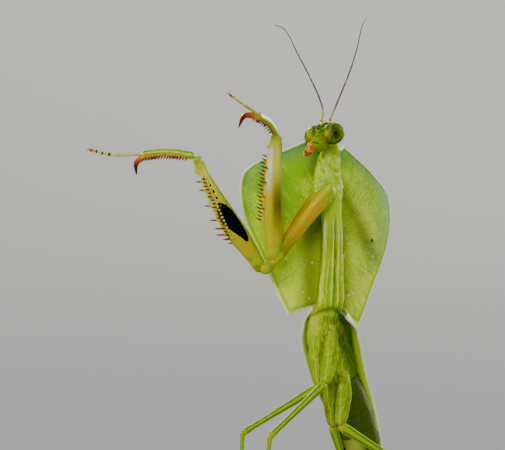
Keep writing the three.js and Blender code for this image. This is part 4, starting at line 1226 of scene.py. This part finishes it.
def shin_finish(name, pale, middle):
    """Green shin, creamy by "pale" round the height "middle" of its flank as a painted highlight, with a
    still paler painted highlight band along its middle, cream on its keels as a painted highlight,
    and flame at the wrist."""
    f = Finish(f"fore_shin_{name}_skin")
    fine, cloud = f.noise(0.2, 3), f.noise(0.8, 3)
    colour = f.mix(ink("leaf"), ink("lime"), f.span(f.z + (cloud - 0.5) * 0.5, 0.9, -0.2))
    # Painted highlight: cream and a paler band round the height "middle", as strongly as "pale" says.
    colour = f.mix(colour, ink("cream"), f.near(f.z, middle, 1.5) * pale)
    colour = f.mix(colour, ink("rim"), f.near(f.z, middle, 0.9) * (pale * 0.6))
    # Painted highlight on the keels.
    colour = f.mix(colour, ink("cream"), f.span(f.lift, 0.03, 0.06) * 0.6)
    colour = f.mix(colour, ink("flame"), f.span(f.x, 0.88, 1.0) * 0.6)
    return f.done(colour, 0.32 + 0.2 * fine, fine, size("grain") * 1.5, coat=0.06, glow=0.1, specular=0.05)


def claw_finish(name):
    """Great claw: ochre, flame, dark red, then black at its point."""
    f = Finish(name)
    along = f.x + (f.noise(0.3, 1) - 0.5) * 0.15
    colour = f.mix(ink("ochre"), ink("flame"), f.span(along, 0.1, 0.35))
    colour = f.mix(colour, ink("blood"), f.span(along, 0.35, 0.65))
    colour = f.mix(colour, ink("soot"), f.span(along, 0.65, 0.92))
    return f.done(colour, 0.3, f.noise(0.1, 1), 0.005, coat=0.12, coat_roughness=0.08, specular=0.12)


def foot_finish(name, dark):
    """Straw foot; the short joints are dark towards their ends, as strongly as "dark" says, and
    the last is orange."""
    f = Finish(name)
    fine = f.noise(0.2, 2)
    colour = f.mix(ink("straw"), ink("cream"), f.span(fine, 0.45, 0.7) * 0.5)
    colour = f.mix(colour, ink("cream"), f.span(f.x, 0.45, 0.55) * 0.7)
    band = f.span(f.lift, 0.03, 0.06) * f.span(f.x, 0.46, 0.5)
    colour = f.mix(colour, ink("soot"), band * dark)
    colour = f.mix(colour, ink("flame"), f.span(f.x, 0.86, 0.97) * 0.85)
    return f.done(colour, 0.35, fine, size("grain"), coat=0.15, glow=0.1, specular=0.1)


def foot_relief(swell):
    """Relief of a foot's five joints: each swells to its end by "swell" and breaks off sharply."""
    def relief(points, t, a):
        """Rises as step ** slow along a joint, with a notch at either end of it."""
        k = np.clip(np.searchsorted(FOOT_BREAKS, t, side="right") - 1, 0, 4)
        step = (t - FOOT_BREAKS[k]) / (FOOT_BREAKS[k + 1] - FOOT_BREAKS[k])
        slow = np.where(k == 0, 3.5, 1.4)
        return swell * (step ** slow - 1.1 * hump(step, 1.0, 0.05) - 0.4 * hump(step, 0.0, 0.05))
    return relief


def shin_relief(points, t, a):
    """Four low keels along a grasping shin, with fine creases."""
    return 0.05 * np.cos(4 * a) + 0.03 * creased(points, 0.7, 11)


def fold_relief(wide, seed):
    """Relief of fine wrinkles about "wide" millimetres apart: 0.04 times "creased"."""
    return lambda points, t, a: 0.04 * creased(points, wide, seed)


class Grasper:
    """A grasping leg: its points, and the directions and lengths that its joints share."""

    def __init__(self, name, plan):
        self.name, self.plan, self.inner = name, plan, plan["inner"]
        self.at = {key: np.array(value, float) for key, value in plan.items() if isinstance(value, tuple)}
        at = self.at
        self.thigh_axis, self.shin_axis = unit(at["knee"] - at["root"]), unit(at["wrist"] - at["knee"])
        self.under, self.arch = across(at["under"], self.thigh_axis), across(at["arch"], self.shin_axis)
        self.beside = np.cross(self.thigh_axis, self.under)
        self.shin_side = np.cross(self.shin_axis, self.arch)
        self.thigh_run = np.linalg.norm(at["knee"] - at["root"])
        self.shin_run = np.linalg.norm(at["wrist"] - at["knee"])

    def coxa_relief(self, points, t, a):
        """Upper joint: slightly three-sided, folded, with a row of low warts down its front edge."""
        warts = hump(a, 3.6, 0.16) * np.clip(np.cos(2 * np.pi * 13 * t), 0, 1) ** 2
        fold = creased(np.stack((np.cos(a) * 1.6, np.sin(a) * 1.6, t * 3), -1), 1.1, 8)
        return 0.08 * np.cos(3 * a + 0.6) + 0.1 * warts * ease(0.1, 0.25, t) + 0.045 * fold

    def make_coxa(self):
        """Upper joint: a limb from the hip that ends just short of the elbow."""
        at = self.at
        end = mix(at["elbow"], at["hip"], 0.06)
        form = limb((at["hip"] + at["nudge"], mix(at["hip"], end, 0.5) + at["nudge"], end),
                    profile((0, 0.95), (0.2, 1.2), (0.6, 1.08), (0.88, 0.8), (1, 0.75)), rows=150, cols=64,
                    relief=self.coxa_relief)
        skin = coxa_finish(self.name, self.plan["orange"])
        piece(f"{self.name}_fore_coxa", [(form, skin)], [f"fore_coxa_{self.name}"])

    def make_hinge(self, skin):
        """Hinge: the thigh's rounded root, and a link from the elbow into it."""
        at, heel = self.at, self.plan["heel"] * self.thigh_axis
        half = profile((0, 0.72), (0.35, 1.0), (0.6, 1.05), (1, 1.0))
        form = limb((at["root"] - heel, at["root"], at["root"] + 2.2 * self.thigh_axis), half,
                    lambda t: 0.76 * half(t), self.beside, 90, 56, 0.9, fold_relief(1.2, 9))
        link = limb((mix(at["elbow"], at["hip"], 0.14), at["elbow"], at["root"] - 0.5 * heel),
                    profile((0, 0.7), (0.5, 0.85), (1, 0.8)), rows=60, cols=48, relief=fold_relief(1.0, 9))
        piece(f"{self.name}_fore_trochanter", [(form, skin), (link, skin)],
              [f"fore_trochanter_{self.name}"])

    def thigh_half(self, t):
        """Half depth of the thigh, which "slim" narrows from the middle to the knee."""
        return THIGH(t) * mix(1, self.plan["slim"], ease(0.5, 0.8, t))

    def thigh_relief(self, points, t, a):
        """Thigh: a keel above, a groove between two raised rows below, and a lobe on either side
        of the knee with a furrow before it."""
        low = turned(a, 0)
        groove = 0.16 * hump(low, 0, 0.3) * ease(0.25, 0.33, t) * ease(0.86, 0.78, t)
        keel = 0.1 * hump(a, np.pi, 0.22)
        feet = 0.1 * hump(low, 0.45, 0.2) * ease(0.26, 0.34, t) * ease(0.86, 0.78, t)
        lobe = 0.38 * hump(t, 0.885, 0.028) * hump(low, 0, 0.55)
        lobe += 0.12 * hump(t, 0.965, 0.02) * hump(low, 1.2, 0.6)
        return keel + feet - groove + lobe - 0.1 * hump(t, 0.94, 0.02) + 0.02 * creased(points, 0.9, 10)

    def thigh_row(self, t, foot, sideways, beyond, radius, tilt, lean=0.0):
        """Spines rooted on one flank of the thigh: "foot" says how far the roots lie from the
        middle of the flank (0) to the lower edge (1), "beyond" is their length, "tilt" their
        slope towards the knee and "lean" their slope sideways."""
        t = np.array(t)[:, None]
        foot, beyond = (np.array(x, float)[..., None] + 0 * t for x in (foot, beyond))
        half, bow = self.thigh_half(t), self.under * self.plan["bow"]
        middle = self.at["root"] + self.thigh_axis * self.thigh_run * t + bow * 4 * t * (1 - t)
        aside = self.beside * sideways * 0.66 * half * np.sqrt(1 - foot ** 2)
        root = middle + self.under * half * foot * 0.94 + aside
        tip = root + unit(self.under + self.thigh_axis * tilt + self.beside * sideways * lean) * beyond
        return spikes(root, tip, radius, self.thigh_axis * -0.2, rows=8, taper=0.75)

    def make_thigh(self, long_spines, teeth):
        """Thigh: a bowed limb 0.72 times as thick as it is deep, with a row of long spines on its
        outer flank and a row of small teeth on its inner one."""
        at, plan = self.at, self.plan
        middle = at["root"] + self.thigh_axis * self.thigh_run / 2 + self.under * plan["bow"]
        form = limb((at["root"], middle, at["knee"]), self.thigh_half, lambda t: 0.72 * self.thigh_half(t),
                    self.beside, 190, 80, relief=self.thigh_relief)
        t, beyond = at["fangs"].T
        outer = self.thigh_row(t, plan["row"], -self.inner, beyond + 0.35, size("spine") * 1.4, 0.55, 0.1)
        beyond = plan["bite"] + 0.3 * (np.arange(TEETH) % 3 == 0)
        inner = self.thigh_row(np.linspace(0.27, 0.8, TEETH), np.linspace(*at["feet"], TEETH), self.inner,
                               beyond + 0.12, size("spine") * 1.25, 0.4, 0.22)
        skin = thigh_finish(self.name, self.inner)
        piece(f"{self.name}_fore_femur", [(form, skin), (outer, long_spines), (inner, teeth)],
              [f"fore_femur_{self.name}"])

    def make_shin(self, comb):
        """Shin: an arched limb with two combs under it, whose teeth grow towards the wrist."""
        at, run = self.at, self.shin_axis * self.shin_run
        half = profile((0, 0.5), (0.1, 0.55), (0.35, 0.5), (0.85, 0.46), (1, 0.5))
        middle = at["knee"] + run * 0.5 + self.arch * 0.45
        form = limb((at["knee"] + 0.1 * self.shin_axis, middle, at["wrist"]), half, hint=self.arch,
                    rows=120, cols=56, relief=shin_relief)
        combs = []
        for row, count in ((-1, self.plan["comb"]), (1, self.plan["comb"] - 2)):
            t = np.linspace(0.14, 0.94, count)[:, None]
            base = at["knee"] + run * t + self.arch * 0.45 * np.sin(np.pi * t) + self.shin_side * 0.24 * row
            tip = base - self.arch * mix(0.95, 1.3, t) + self.shin_axis * 0.5 + self.shin_side * 0.12 * row
            combs.append((spikes(base - self.arch * 0.2, tip, size("spine") * 1.2, self.shin_axis * -0.2,
                                 taper=0.7), comb))
        piece(f"{self.name}_fore_tibia", [(form, shin_finish(self.name, *self.plan["cream"]))] + combs,
              [f"fore_tibia_{self.name}"])

    def make_claw(self, skin):
        """Great claw: a bent limb that thins to a point."""
        at = self.at
        path = (at["wrist"] - 0.5 * self.shin_axis - 0.1 * self.arch,
                mix(at["wrist"], at["claw"], 0.45) + at["bulge"], at["claw"])
        form = limb(path, profile((0, 0.52), (0.35, 0.44), (0.65, 0.3), (0.88, 0.14), (1, 0.03)),
                    rows=80, cols=32, blunt=0.5)
        piece(f"{self.name}_great_claw", [(form, skin)], [f"fore_tibia_{self.name}"])

    def make_foot(self, nails):
        """Foot: one limb of a long joint and four short ones, with a pair of small claws."""
        at, plan = self.at, self.plan
        tread = unit(at["toe"] - at["wrist"])
        start = at["wrist"] + plan["lift"] * self.arch - 0.1 * tread
        last = at["toe"] - 0.45 * tread
        path = (start, mix(start, at["toe"], 0.5) + np.array((0, 0, plan["sag"])), last)
        half = profile((0, 0.22 * plan["stout"]), (0.1, 0.17 * plan["stout"]),
                       (0.45, 0.16 * plan["stout"]), (0.55, 0.2), (1, 0.17))
        form = limb(path, half, rows=240, cols=28, blunt=0.7, relief=foot_relief(0.085))
        aside = 0.3 * unit(np.cross(tread, self.arch))
        ends = np.array([at["toe"] + 0.05 * tread + aside * k - 0.12 * self.arch for k in (1, -1)])
        claws = spikes(np.repeat(last[None], 2, 0), ends, 0.11, self.arch * 0.25, rows=8)
        skin = foot_finish(f"fore_foot_{self.name}_skin", plan["dark"])
        piece(f"{self.name}_fore_tarsus", [(form, skin), (claws, nails)],
              [f"fore_tarsus_{self.name}"])


def make_graspers():
    """Each grasping leg joint by joint, from the hip to the foot."""
    long_spines = spine_finish("thigh_long_spines", (0.0, "straw"), (0.3, "ochre"), (0.5, "flame"),
                               (0.75, "soot"))
    teeth = spine_finish("thigh_teeth", (0.0, "soot"), (0.22, "cream"), (0.42, "flame"), (0.62, "soot"))
    comb = spine_finish("shin_comb", (0.0, "straw"), (0.35, "ochre"), (0.55, "flame"), (0.75, "soot"))
    nails = spine_finish("fore_foot_claws", (0.0, "ochre"), (0.4, "blood"), (1.0, "soot"))
    hook, hinge = claw_finish("great_claws"), hinge_finish()
    for name, plan in GRASPERS.items():
        leg = Grasper(name, plan)
        leg.make_coxa()
        leg.make_hinge(hinge)
        leg.make_thigh(long_spines, teeth)
        leg.make_shin(comb)
        leg.make_claw(hook)
        leg.make_foot(nails)


# ---- walking legs ------------------------------------------------------------------

# hip, elbow, knee, ankle, toe, half thickness of the thigh, and how far off the hip its joint starts
WALKERS = {
    "mid_right": ((-2.0, -3.9, 32.6), (-1.5, -5.0, 25.7), (-12.8, 2.6, 18.4), (-13.4, 5.6, 2.6),
                  (-18.8, 8.6, 0.3), 0.56, (0.5, 0.9, 3.4)),
    "mid_left": ((0.7, -4.1, 32.4), (-0.65, -6.6, 26.1), (-8.75, -14.0, 18.75), (-10.4, -15.6, 2.6),
                 (-12.6, -21.4, 0.3), 0.52, (0.0, 0.9, 3.4)),
    "hind_right": ((0.2, -2.2, 27.6), (0.7, 0.9, 19.5), (5.1, 8.6, 4.9), (-5.2, 21.6, 1.9),
                   (-9.8, 27.0, 0.3), 0.54, (0.3, 1.8, 0.6)),
    "hind_left": ((2.7, -2.4, 27.8), (1.75, -1.3, 19.7), (15.8, 2.8, 10.7), (23.4, 16.4, 1.9),
                  (27.0, 22.4, 0.3), 0.66, (-0.3, 2.0, 0.6)),
}
SOLE = 0.24             # height of a foot's middle line over the floor
UP = np.array((0.0, 0.0, 1.0))


def leg_finish(name):
    """Lime leg skin, lemon on its keels as a painted highlight, deep green in the grooves between them as
    painted shade, and yellow at the joints.
    """
    f = Finish(name)
    fine, cloud = f.noise(0.2, 3), f.noise(1.4, 3)
    colour = f.mix(ink("leaf"), ink("lime"), f.span(cloud, 0.35, 0.65) * 0.7)
    # Painted shade in the grooves and painted highlight on the keels.
    colour = f.mix(colour, ink("deep"), f.span(f.lift, 0.0, -0.05) * 0.6)
    colour = f.mix(colour, ink("lemon"), f.span(f.lift, 0.02, 0.06) * 0.5)
    colour = f.mix(colour, ink("straw"), f.span(f.math("ABSOLUTE", f.x - 0.5), 0.4, 0.5) * 0.6)
    return f.done(colour, 0.36 + 0.2 * fine, fine, size("grain") * 1.5, coat=0.04, glow=0.1, specular=0.03)


def hip_relief(points, t, a):
    """Strands of fold that run down a hip joint, with finer ones and small bumps over them."""
    strand = np.stack((np.cos(a) * 1.5, np.sin(a) * 1.5, t * 1.2), -1)
    fold = 0.6 * creased(strand, 1.0, 12) + 0.5 * creased(strand * (1, 1, 1.6), 0.42, 13)
    strands = size("folds") * (0.55 * fold + 0.25 * ripple(points, 0.35, 14))
    return strands * ease(0, 0.1, t) + 0.05 * np.cos(3 * a + 1)


def thigh_edges(points, t, a):
    """Four low keels along a thigh, and the pair of lobes that hold the knee."""
    keels = 0.05 * np.cos(4 * a) * ease(0.02, 0.1, t) * ease(0.98, 0.9, t)
    return keels + 0.08 * hump(t, 0.965, 0.02) * np.abs(np.cos(a))


def make_walkers():
    """Each walking leg: a folded limb for the hip joint, a keeled one for the thigh, a thin one
    with two rows of spurs for the shin, and a jointed one with two claws for the foot."""
    # The hips' fold tops carry a painted highlight and their bottoms and backs painted shade.
    hip_skin = skin_finish("hip_skin", 1.0, crest=0.75)
    skin = leg_finish("walking_leg_skin")
    sole = leg_finish("walking_foot_skin")
    nails = spine_finish("walking_claws", (0.0, "ochre"), (0.4, "blood"), (1.0, "soot"))
    for name, (hip, elbow, knee, ankle, toe, thick, sunk) in WALKERS.items():
        hip, elbow, knee, ankle, toe = (np.array(x, float) for x in (hip, elbow, knee, ankle, toe))
        out, down = unit(knee - elbow), unit(ankle - knee)

        # hip joint
        form = limb((hip + np.array(sunk), mix(hip, elbow, 0.35), mix(hip, elbow, 0.75), elbow),
                    profile((0, 0.4), (0.25, 0.85), (0.5, 1.1), (0.8, 0.95), (1, 0.6)), rows=150, cols=96,
                    relief=hip_relief)
        piece(f"{name}_leg_coxa", [(form, hip_skin)], [f"{name}_coxa"])

        # thigh
        start = elbow - 0.2 * out
        half = profile((0, thick), (0.06, thick + 0.1), (0.2, thick), (0.85, 0.38), (0.95, 0.48), (1, 0.46))
        form = limb((start, mix(start, knee, 0.5), knee), half, rows=150, cols=40, relief=thigh_edges)
        piece(f"{name}_leg_femur", [(form, skin)], [f"{name}_femur"])

        # shin, with seven spurs on either side
        start = knee - 0.15 * down
        half = profile((0, 0.42), (0.12, 0.3), (0.8, 0.25), (0.97, 0.34), (1, 0.32))
        form = limb((start, mix(start, ankle, 0.5), ankle), half, rows=130, cols=28,
                    relief=lambda points, t, a: 0.02 * np.cos(4 * a))
        side = unit(np.cross(down, UP))
        t = np.linspace(0.3, 0.93, 7)[:, None]
        base = mix(knee, ankle, t)
        spurs = [spikes(base, base + side * 0.5 * k + down * 0.35, 0.07, rows=5, sides=6) for k in (1, -1)]
        piece(f"{name}_leg_tibia", [(form, skin)] + [(x, nails) for x in spurs], [f"{name}_tibia"])

        # foot: down from the ankle, then level along the floor
        ahead = unit((toe - ankle) * (1, 1, 0))
        side, flat = np.cross(ahead, UP), np.array((1, 1, 0))
        path = (ankle - 0.12 * down, ankle + 1.3 * ahead - 0.62 * ankle[2] * UP,
                ankle * flat + SOLE * UP + 2.8 * ahead, toe * flat + SOLE * UP - 0.15 * ahead)
        form = limb(path, profile((0, 0.28), (0.1, 0.22), (1, 0.2)), rows=240, cols=28, blunt=0.7,
                    relief=foot_relief(0.09))
        tips = np.array([toe * flat + 0.75 * ahead + 0.45 * k * side + 0.06 * UP for k in (1, -1)])
        foot = np.repeat((toe * flat + SOLE * UP - 0.35 * ahead)[None], 2, 0)
        claws = spikes(foot, tips, 0.13, UP * 0.5, rows=8)
        piece(f"{name}_leg_tarsus", [(form, sole), (claws, nails)], [f"{name}_tarsus"])


# ---- stage -------------------------------------------------------------------------

SUNS = (    # name, direction it comes from, spread in degrees, strength, tint
    ("key", (-0.68, -0.58, 0.5), 10, 20.0, (1.0, 0.985, 0.92)),
    ("fill", (-0.1, -0.92, 0.38), 40, 9.0, (1.0, 1.0, 0.96)),
)
LAMPS = (   # name, place, size in metres, power in watts, tint; they shine from behind
    ("rim_left", (-0.2, 0.45, 0.33), 0.12, 0.28, (1.0, 0.98, 0.92)),
    ("rim_right", (0.32, 0.38, 0.15), 0.12, 0.22, (0.95, 0.98, 1.0)),
)
LAMPS_AT, LAMP_BEAM = np.array((0.0, 0.0, 0.045)), 40       # place they point at; beam in degrees
SKY, SKY_STRENGTH = (0.86, 0.87, 0.85, 1), 0.08
FLOOR_FLAT, FLOOR_END, FLOOR_WIDE, FLOOR_TALL = 2.2, 4.2, 3.6, 2.4      # metres
FLOOR_SHINE = 0.42      # light of the floor's own, which keeps it pale behind the model


def lamp(name, light, direction, axis, place=(0, 0, 0)):
    """Object for a light, turned so that its axis points along the direction."""
    thing = linked(name, light)
    thing.location = place
    thing.rotation_mode = "QUATERNION"
    thing.rotation_quaternion = Vector(direction).to_track_quat(axis, "Y")
    return thing


def make_floor():
    """Pale floor that rises into a surround far out.  At the distance r it stands
    FLOOR_TALL * (r / FLOOR_END) ** 2 * ease(FLOOR_FLAT, FLOOR_END, r) high, and past FLOOR_WIDE it
    goes straight up."""
    around = np.linspace(0, 2 * np.pi, 96, endpoint=False)
    r, a = np.meshgrid(np.linspace(0, FLOOR_END, 60), around, indexing="ij")
    out = np.minimum(r, FLOOR_WIDE)
    height = FLOOR_TALL * (r / FLOOR_END) ** 2 * ease(FLOOR_FLAT, FLOOR_END, r)
    points = np.stack((out * np.cos(a), out * np.sin(a), height), -1)
    number = np.arange(r.size).reshape(r.shape)
    beside = np.roll(number, -1, 1)
    faces = np.stack((number[:-1], number[1:], beside[1:], beside[:-1]), -1).reshape(-1, 4)
    mesh = bpy.data.meshes.new("floor")
    mesh.from_pydata(points.reshape(-1, 3).tolist(), [], faces.tolist())
    mesh.polygons.foreach_set("use_smooth", [True] * len(faces))
    paper = Finish("floor_paper")
    mesh.materials.append(paper.done(ink("floor"), 0.9, coat=0.0, specular=0.0, shine=FLOOR_SHINE))
    linked("floor", mesh)


def make_stage():
    """Floor, two suns in front, two lamps behind, a dim sky and the camera."""
    make_floor()
    for name, source, spread, strength, tint in SUNS:
        light = bpy.data.lights.new(name, "SUN")
        light.angle, light.energy, light.color = np.radians(spread), strength, tint
        lamp(name, light, source, "Z")
    for name, place, width, power, tint in LAMPS:
        light = bpy.data.lights.new(name, "AREA")
        light.size, light.energy, light.color = width, power, tint
        light.spread = np.radians(LAMP_BEAM)
        lamp(name, light, LAMPS_AT - np.array(place), "-Z", place).visible_camera = False
    world = bpy.data.worlds.new("studio")
    world.use_nodes = True
    sky = world.node_tree.nodes["Background"].inputs
    sky["Color"].default_value, sky["Strength"].default_value = SKY, SKY_STRENGTH
    bpy.context.scene.world = world

    lens = bpy.data.cameras.new("camera")
    lens.lens = lens.sensor_width * SHOT_DISTANCE / SHOT_WIDTH
    lens.clip_start = 0.01
    camera = linked("camera", lens)
    camera.location, camera.rotation_euler = SHOT_PLACE, (np.pi / 2, 0, 0)
    bpy.context.scene.camera = camera


# ---- operators, panel and running ---------------------------------------------------

class MANTIS_OT_stage(bpy.types.Operator):
    """Makes the floor, the lamps and the camera"""
    bl_idname = "mantis.stage"
    bl_label = "Stage"
    bl_options = {"REGISTER", "UNDO"}

    def execute(self, context):
        make_stage()
        return {"FINISHED"}


class MANTIS_OT_shield(bpy.types.Operator):
    """Makes the leaf-like shield"""
    bl_idname = "mantis.shield"
    bl_label = "Shield"
    bl_options = {"REGISTER", "UNDO"}

    def execute(self, context):
        make_shield()
        return {"FINISHED"}


class MANTIS_OT_breast(bpy.types.Operator):
    """Makes the one skin from the neck to the hind breast"""
    bl_idname = "mantis.breast"
    bl_label = "Breast"
    bl_options = {"REGISTER", "UNDO"}

    def execute(self, context):
        make_body()
        return {"FINISHED"}


class MANTIS_OT_head(bpy.types.Operator):
    """Makes the head capsule with its small eyes and sockets"""
    bl_idname = "mantis.head"
    bl_label = "Head"
    bl_options = {"REGISTER", "UNDO"}

    def execute(self, context):
        make_head()
        return {"FINISHED"}


class MANTIS_OT_eyes(bpy.types.Operator):
    """Makes the two large eyes"""
    bl_idname = "mantis.eyes"
    bl_label = "Eyes"
    bl_options = {"REGISTER", "UNDO"}

    def execute(self, context):
        make_eyes()
        return {"FINISHED"}


class MANTIS_OT_mouth(bpy.types.Operator):
    """Makes the lip, jaws and palps"""
    bl_idname = "mantis.mouth"
    bl_label = "Mouth"
    bl_options = {"REGISTER", "UNDO"}

    def execute(self, context):
        make_mouth()
        return {"FINISHED"}


class MANTIS_OT_feelers(bpy.types.Operator):
    """Makes the two feelers"""
    bl_idname = "mantis.feelers"
    bl_label = "Feelers"
    bl_options = {"REGISTER", "UNDO"}

    def execute(self, context):
        make_feelers()
        return {"FINISHED"}


class MANTIS_OT_abdomen(bpy.types.Operator):
    """Makes the eight rings of the abdomen"""
    bl_idname = "mantis.abdomen"
    bl_label = "Abdomen"
    bl_options = {"REGISTER", "UNDO"}

    def execute(self, context):
        make_abdomen()
        return {"FINISHED"}


class MANTIS_OT_cerci(bpy.types.Operator):
    """Makes the two tail feelers"""
    bl_idname = "mantis.cerci"
    bl_label = "Cerci"
    bl_options = {"REGISTER", "UNDO"}

    def execute(self, context):
        make_cerci()
        return {"FINISHED"}


class MANTIS_OT_wings(bpy.types.Operator):
    """Makes the two folded fore wings"""
    bl_idname = "mantis.wings"
    bl_label = "Fore wings"
    bl_options = {"REGISTER", "UNDO"}

    def execute(self, context):
        make_wings()
        return {"FINISHED"}


class MANTIS_OT_graspers(bpy.types.Operator):
    """Makes the two spined fore legs"""
    bl_idname = "mantis.graspers"
    bl_label = "Grasping legs"
    bl_options = {"REGISTER", "UNDO"}

    def execute(self, context):
        make_graspers()
        return {"FINISHED"}


class MANTIS_OT_walkers(bpy.types.Operator):
    """Makes the four walking legs"""
    bl_idname = "mantis.walkers"
    bl_label = "Walking legs"
    bl_options = {"REGISTER", "UNDO"}

    def execute(self, context):
        make_walkers()
        return {"FINISHED"}


MAKERS = (MANTIS_OT_stage, MANTIS_OT_shield, MANTIS_OT_breast, MANTIS_OT_head,
          MANTIS_OT_eyes, MANTIS_OT_mouth, MANTIS_OT_feelers, MANTIS_OT_abdomen,
          MANTIS_OT_cerci, MANTIS_OT_wings, MANTIS_OT_graspers, MANTIS_OT_walkers)


class MANTIS_PT_sidebar(bpy.types.Panel):
    """Lists the colours, the fine sizes and the makers."""
    bl_idname = "MANTIS_PT_sidebar"
    bl_label = "Mantis"
    bl_space_type = "VIEW_3D"
    bl_region_type = "UI"
    bl_category = "Mantis"

    def draw(self, context):
        for group in (context.scene.mantis_sizes, context.scene.mantis_colours):
            box = self.layout.box()
            for key in group.__annotations__:
                box.prop(group, key)
        for made in MAKERS:
            self.layout.operator(made.bl_idname)


CLASSES = (MantisColours, MantisSizes, *MAKERS, MANTIS_PT_sidebar)


def register():
    """Adds the classes, and the colours and sizes to the scene."""
    for cls in CLASSES:
        bpy.utils.register_class(cls)
    bpy.types.Scene.mantis_colours = bpy.props.PointerProperty(type=MantisColours)
    bpy.types.Scene.mantis_sizes = bpy.props.PointerProperty(type=MantisSizes)


def unregister():
    """Takes away what register adds, in reverse."""
    del bpy.types.Scene.mantis_sizes
    del bpy.types.Scene.mantis_colours
    for cls in reversed(CLASSES):
        bpy.utils.unregister_class(cls)


def main():
    """Makes everything in order."""
    register()
    bpy.ops.mantis.stage()
    bpy.ops.mantis.shield()
    bpy.ops.mantis.breast()
    bpy.ops.mantis.head()
    bpy.ops.mantis.eyes()
    bpy.ops.mantis.mouth()
    bpy.ops.mantis.feelers()
    bpy.ops.mantis.abdomen()
    bpy.ops.mantis.cerci()
    bpy.ops.mantis.wings()
    bpy.ops.mantis.graspers()
    bpy.ops.mantis.walkers()
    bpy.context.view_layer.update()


if __name__ == "__main__":
    main()
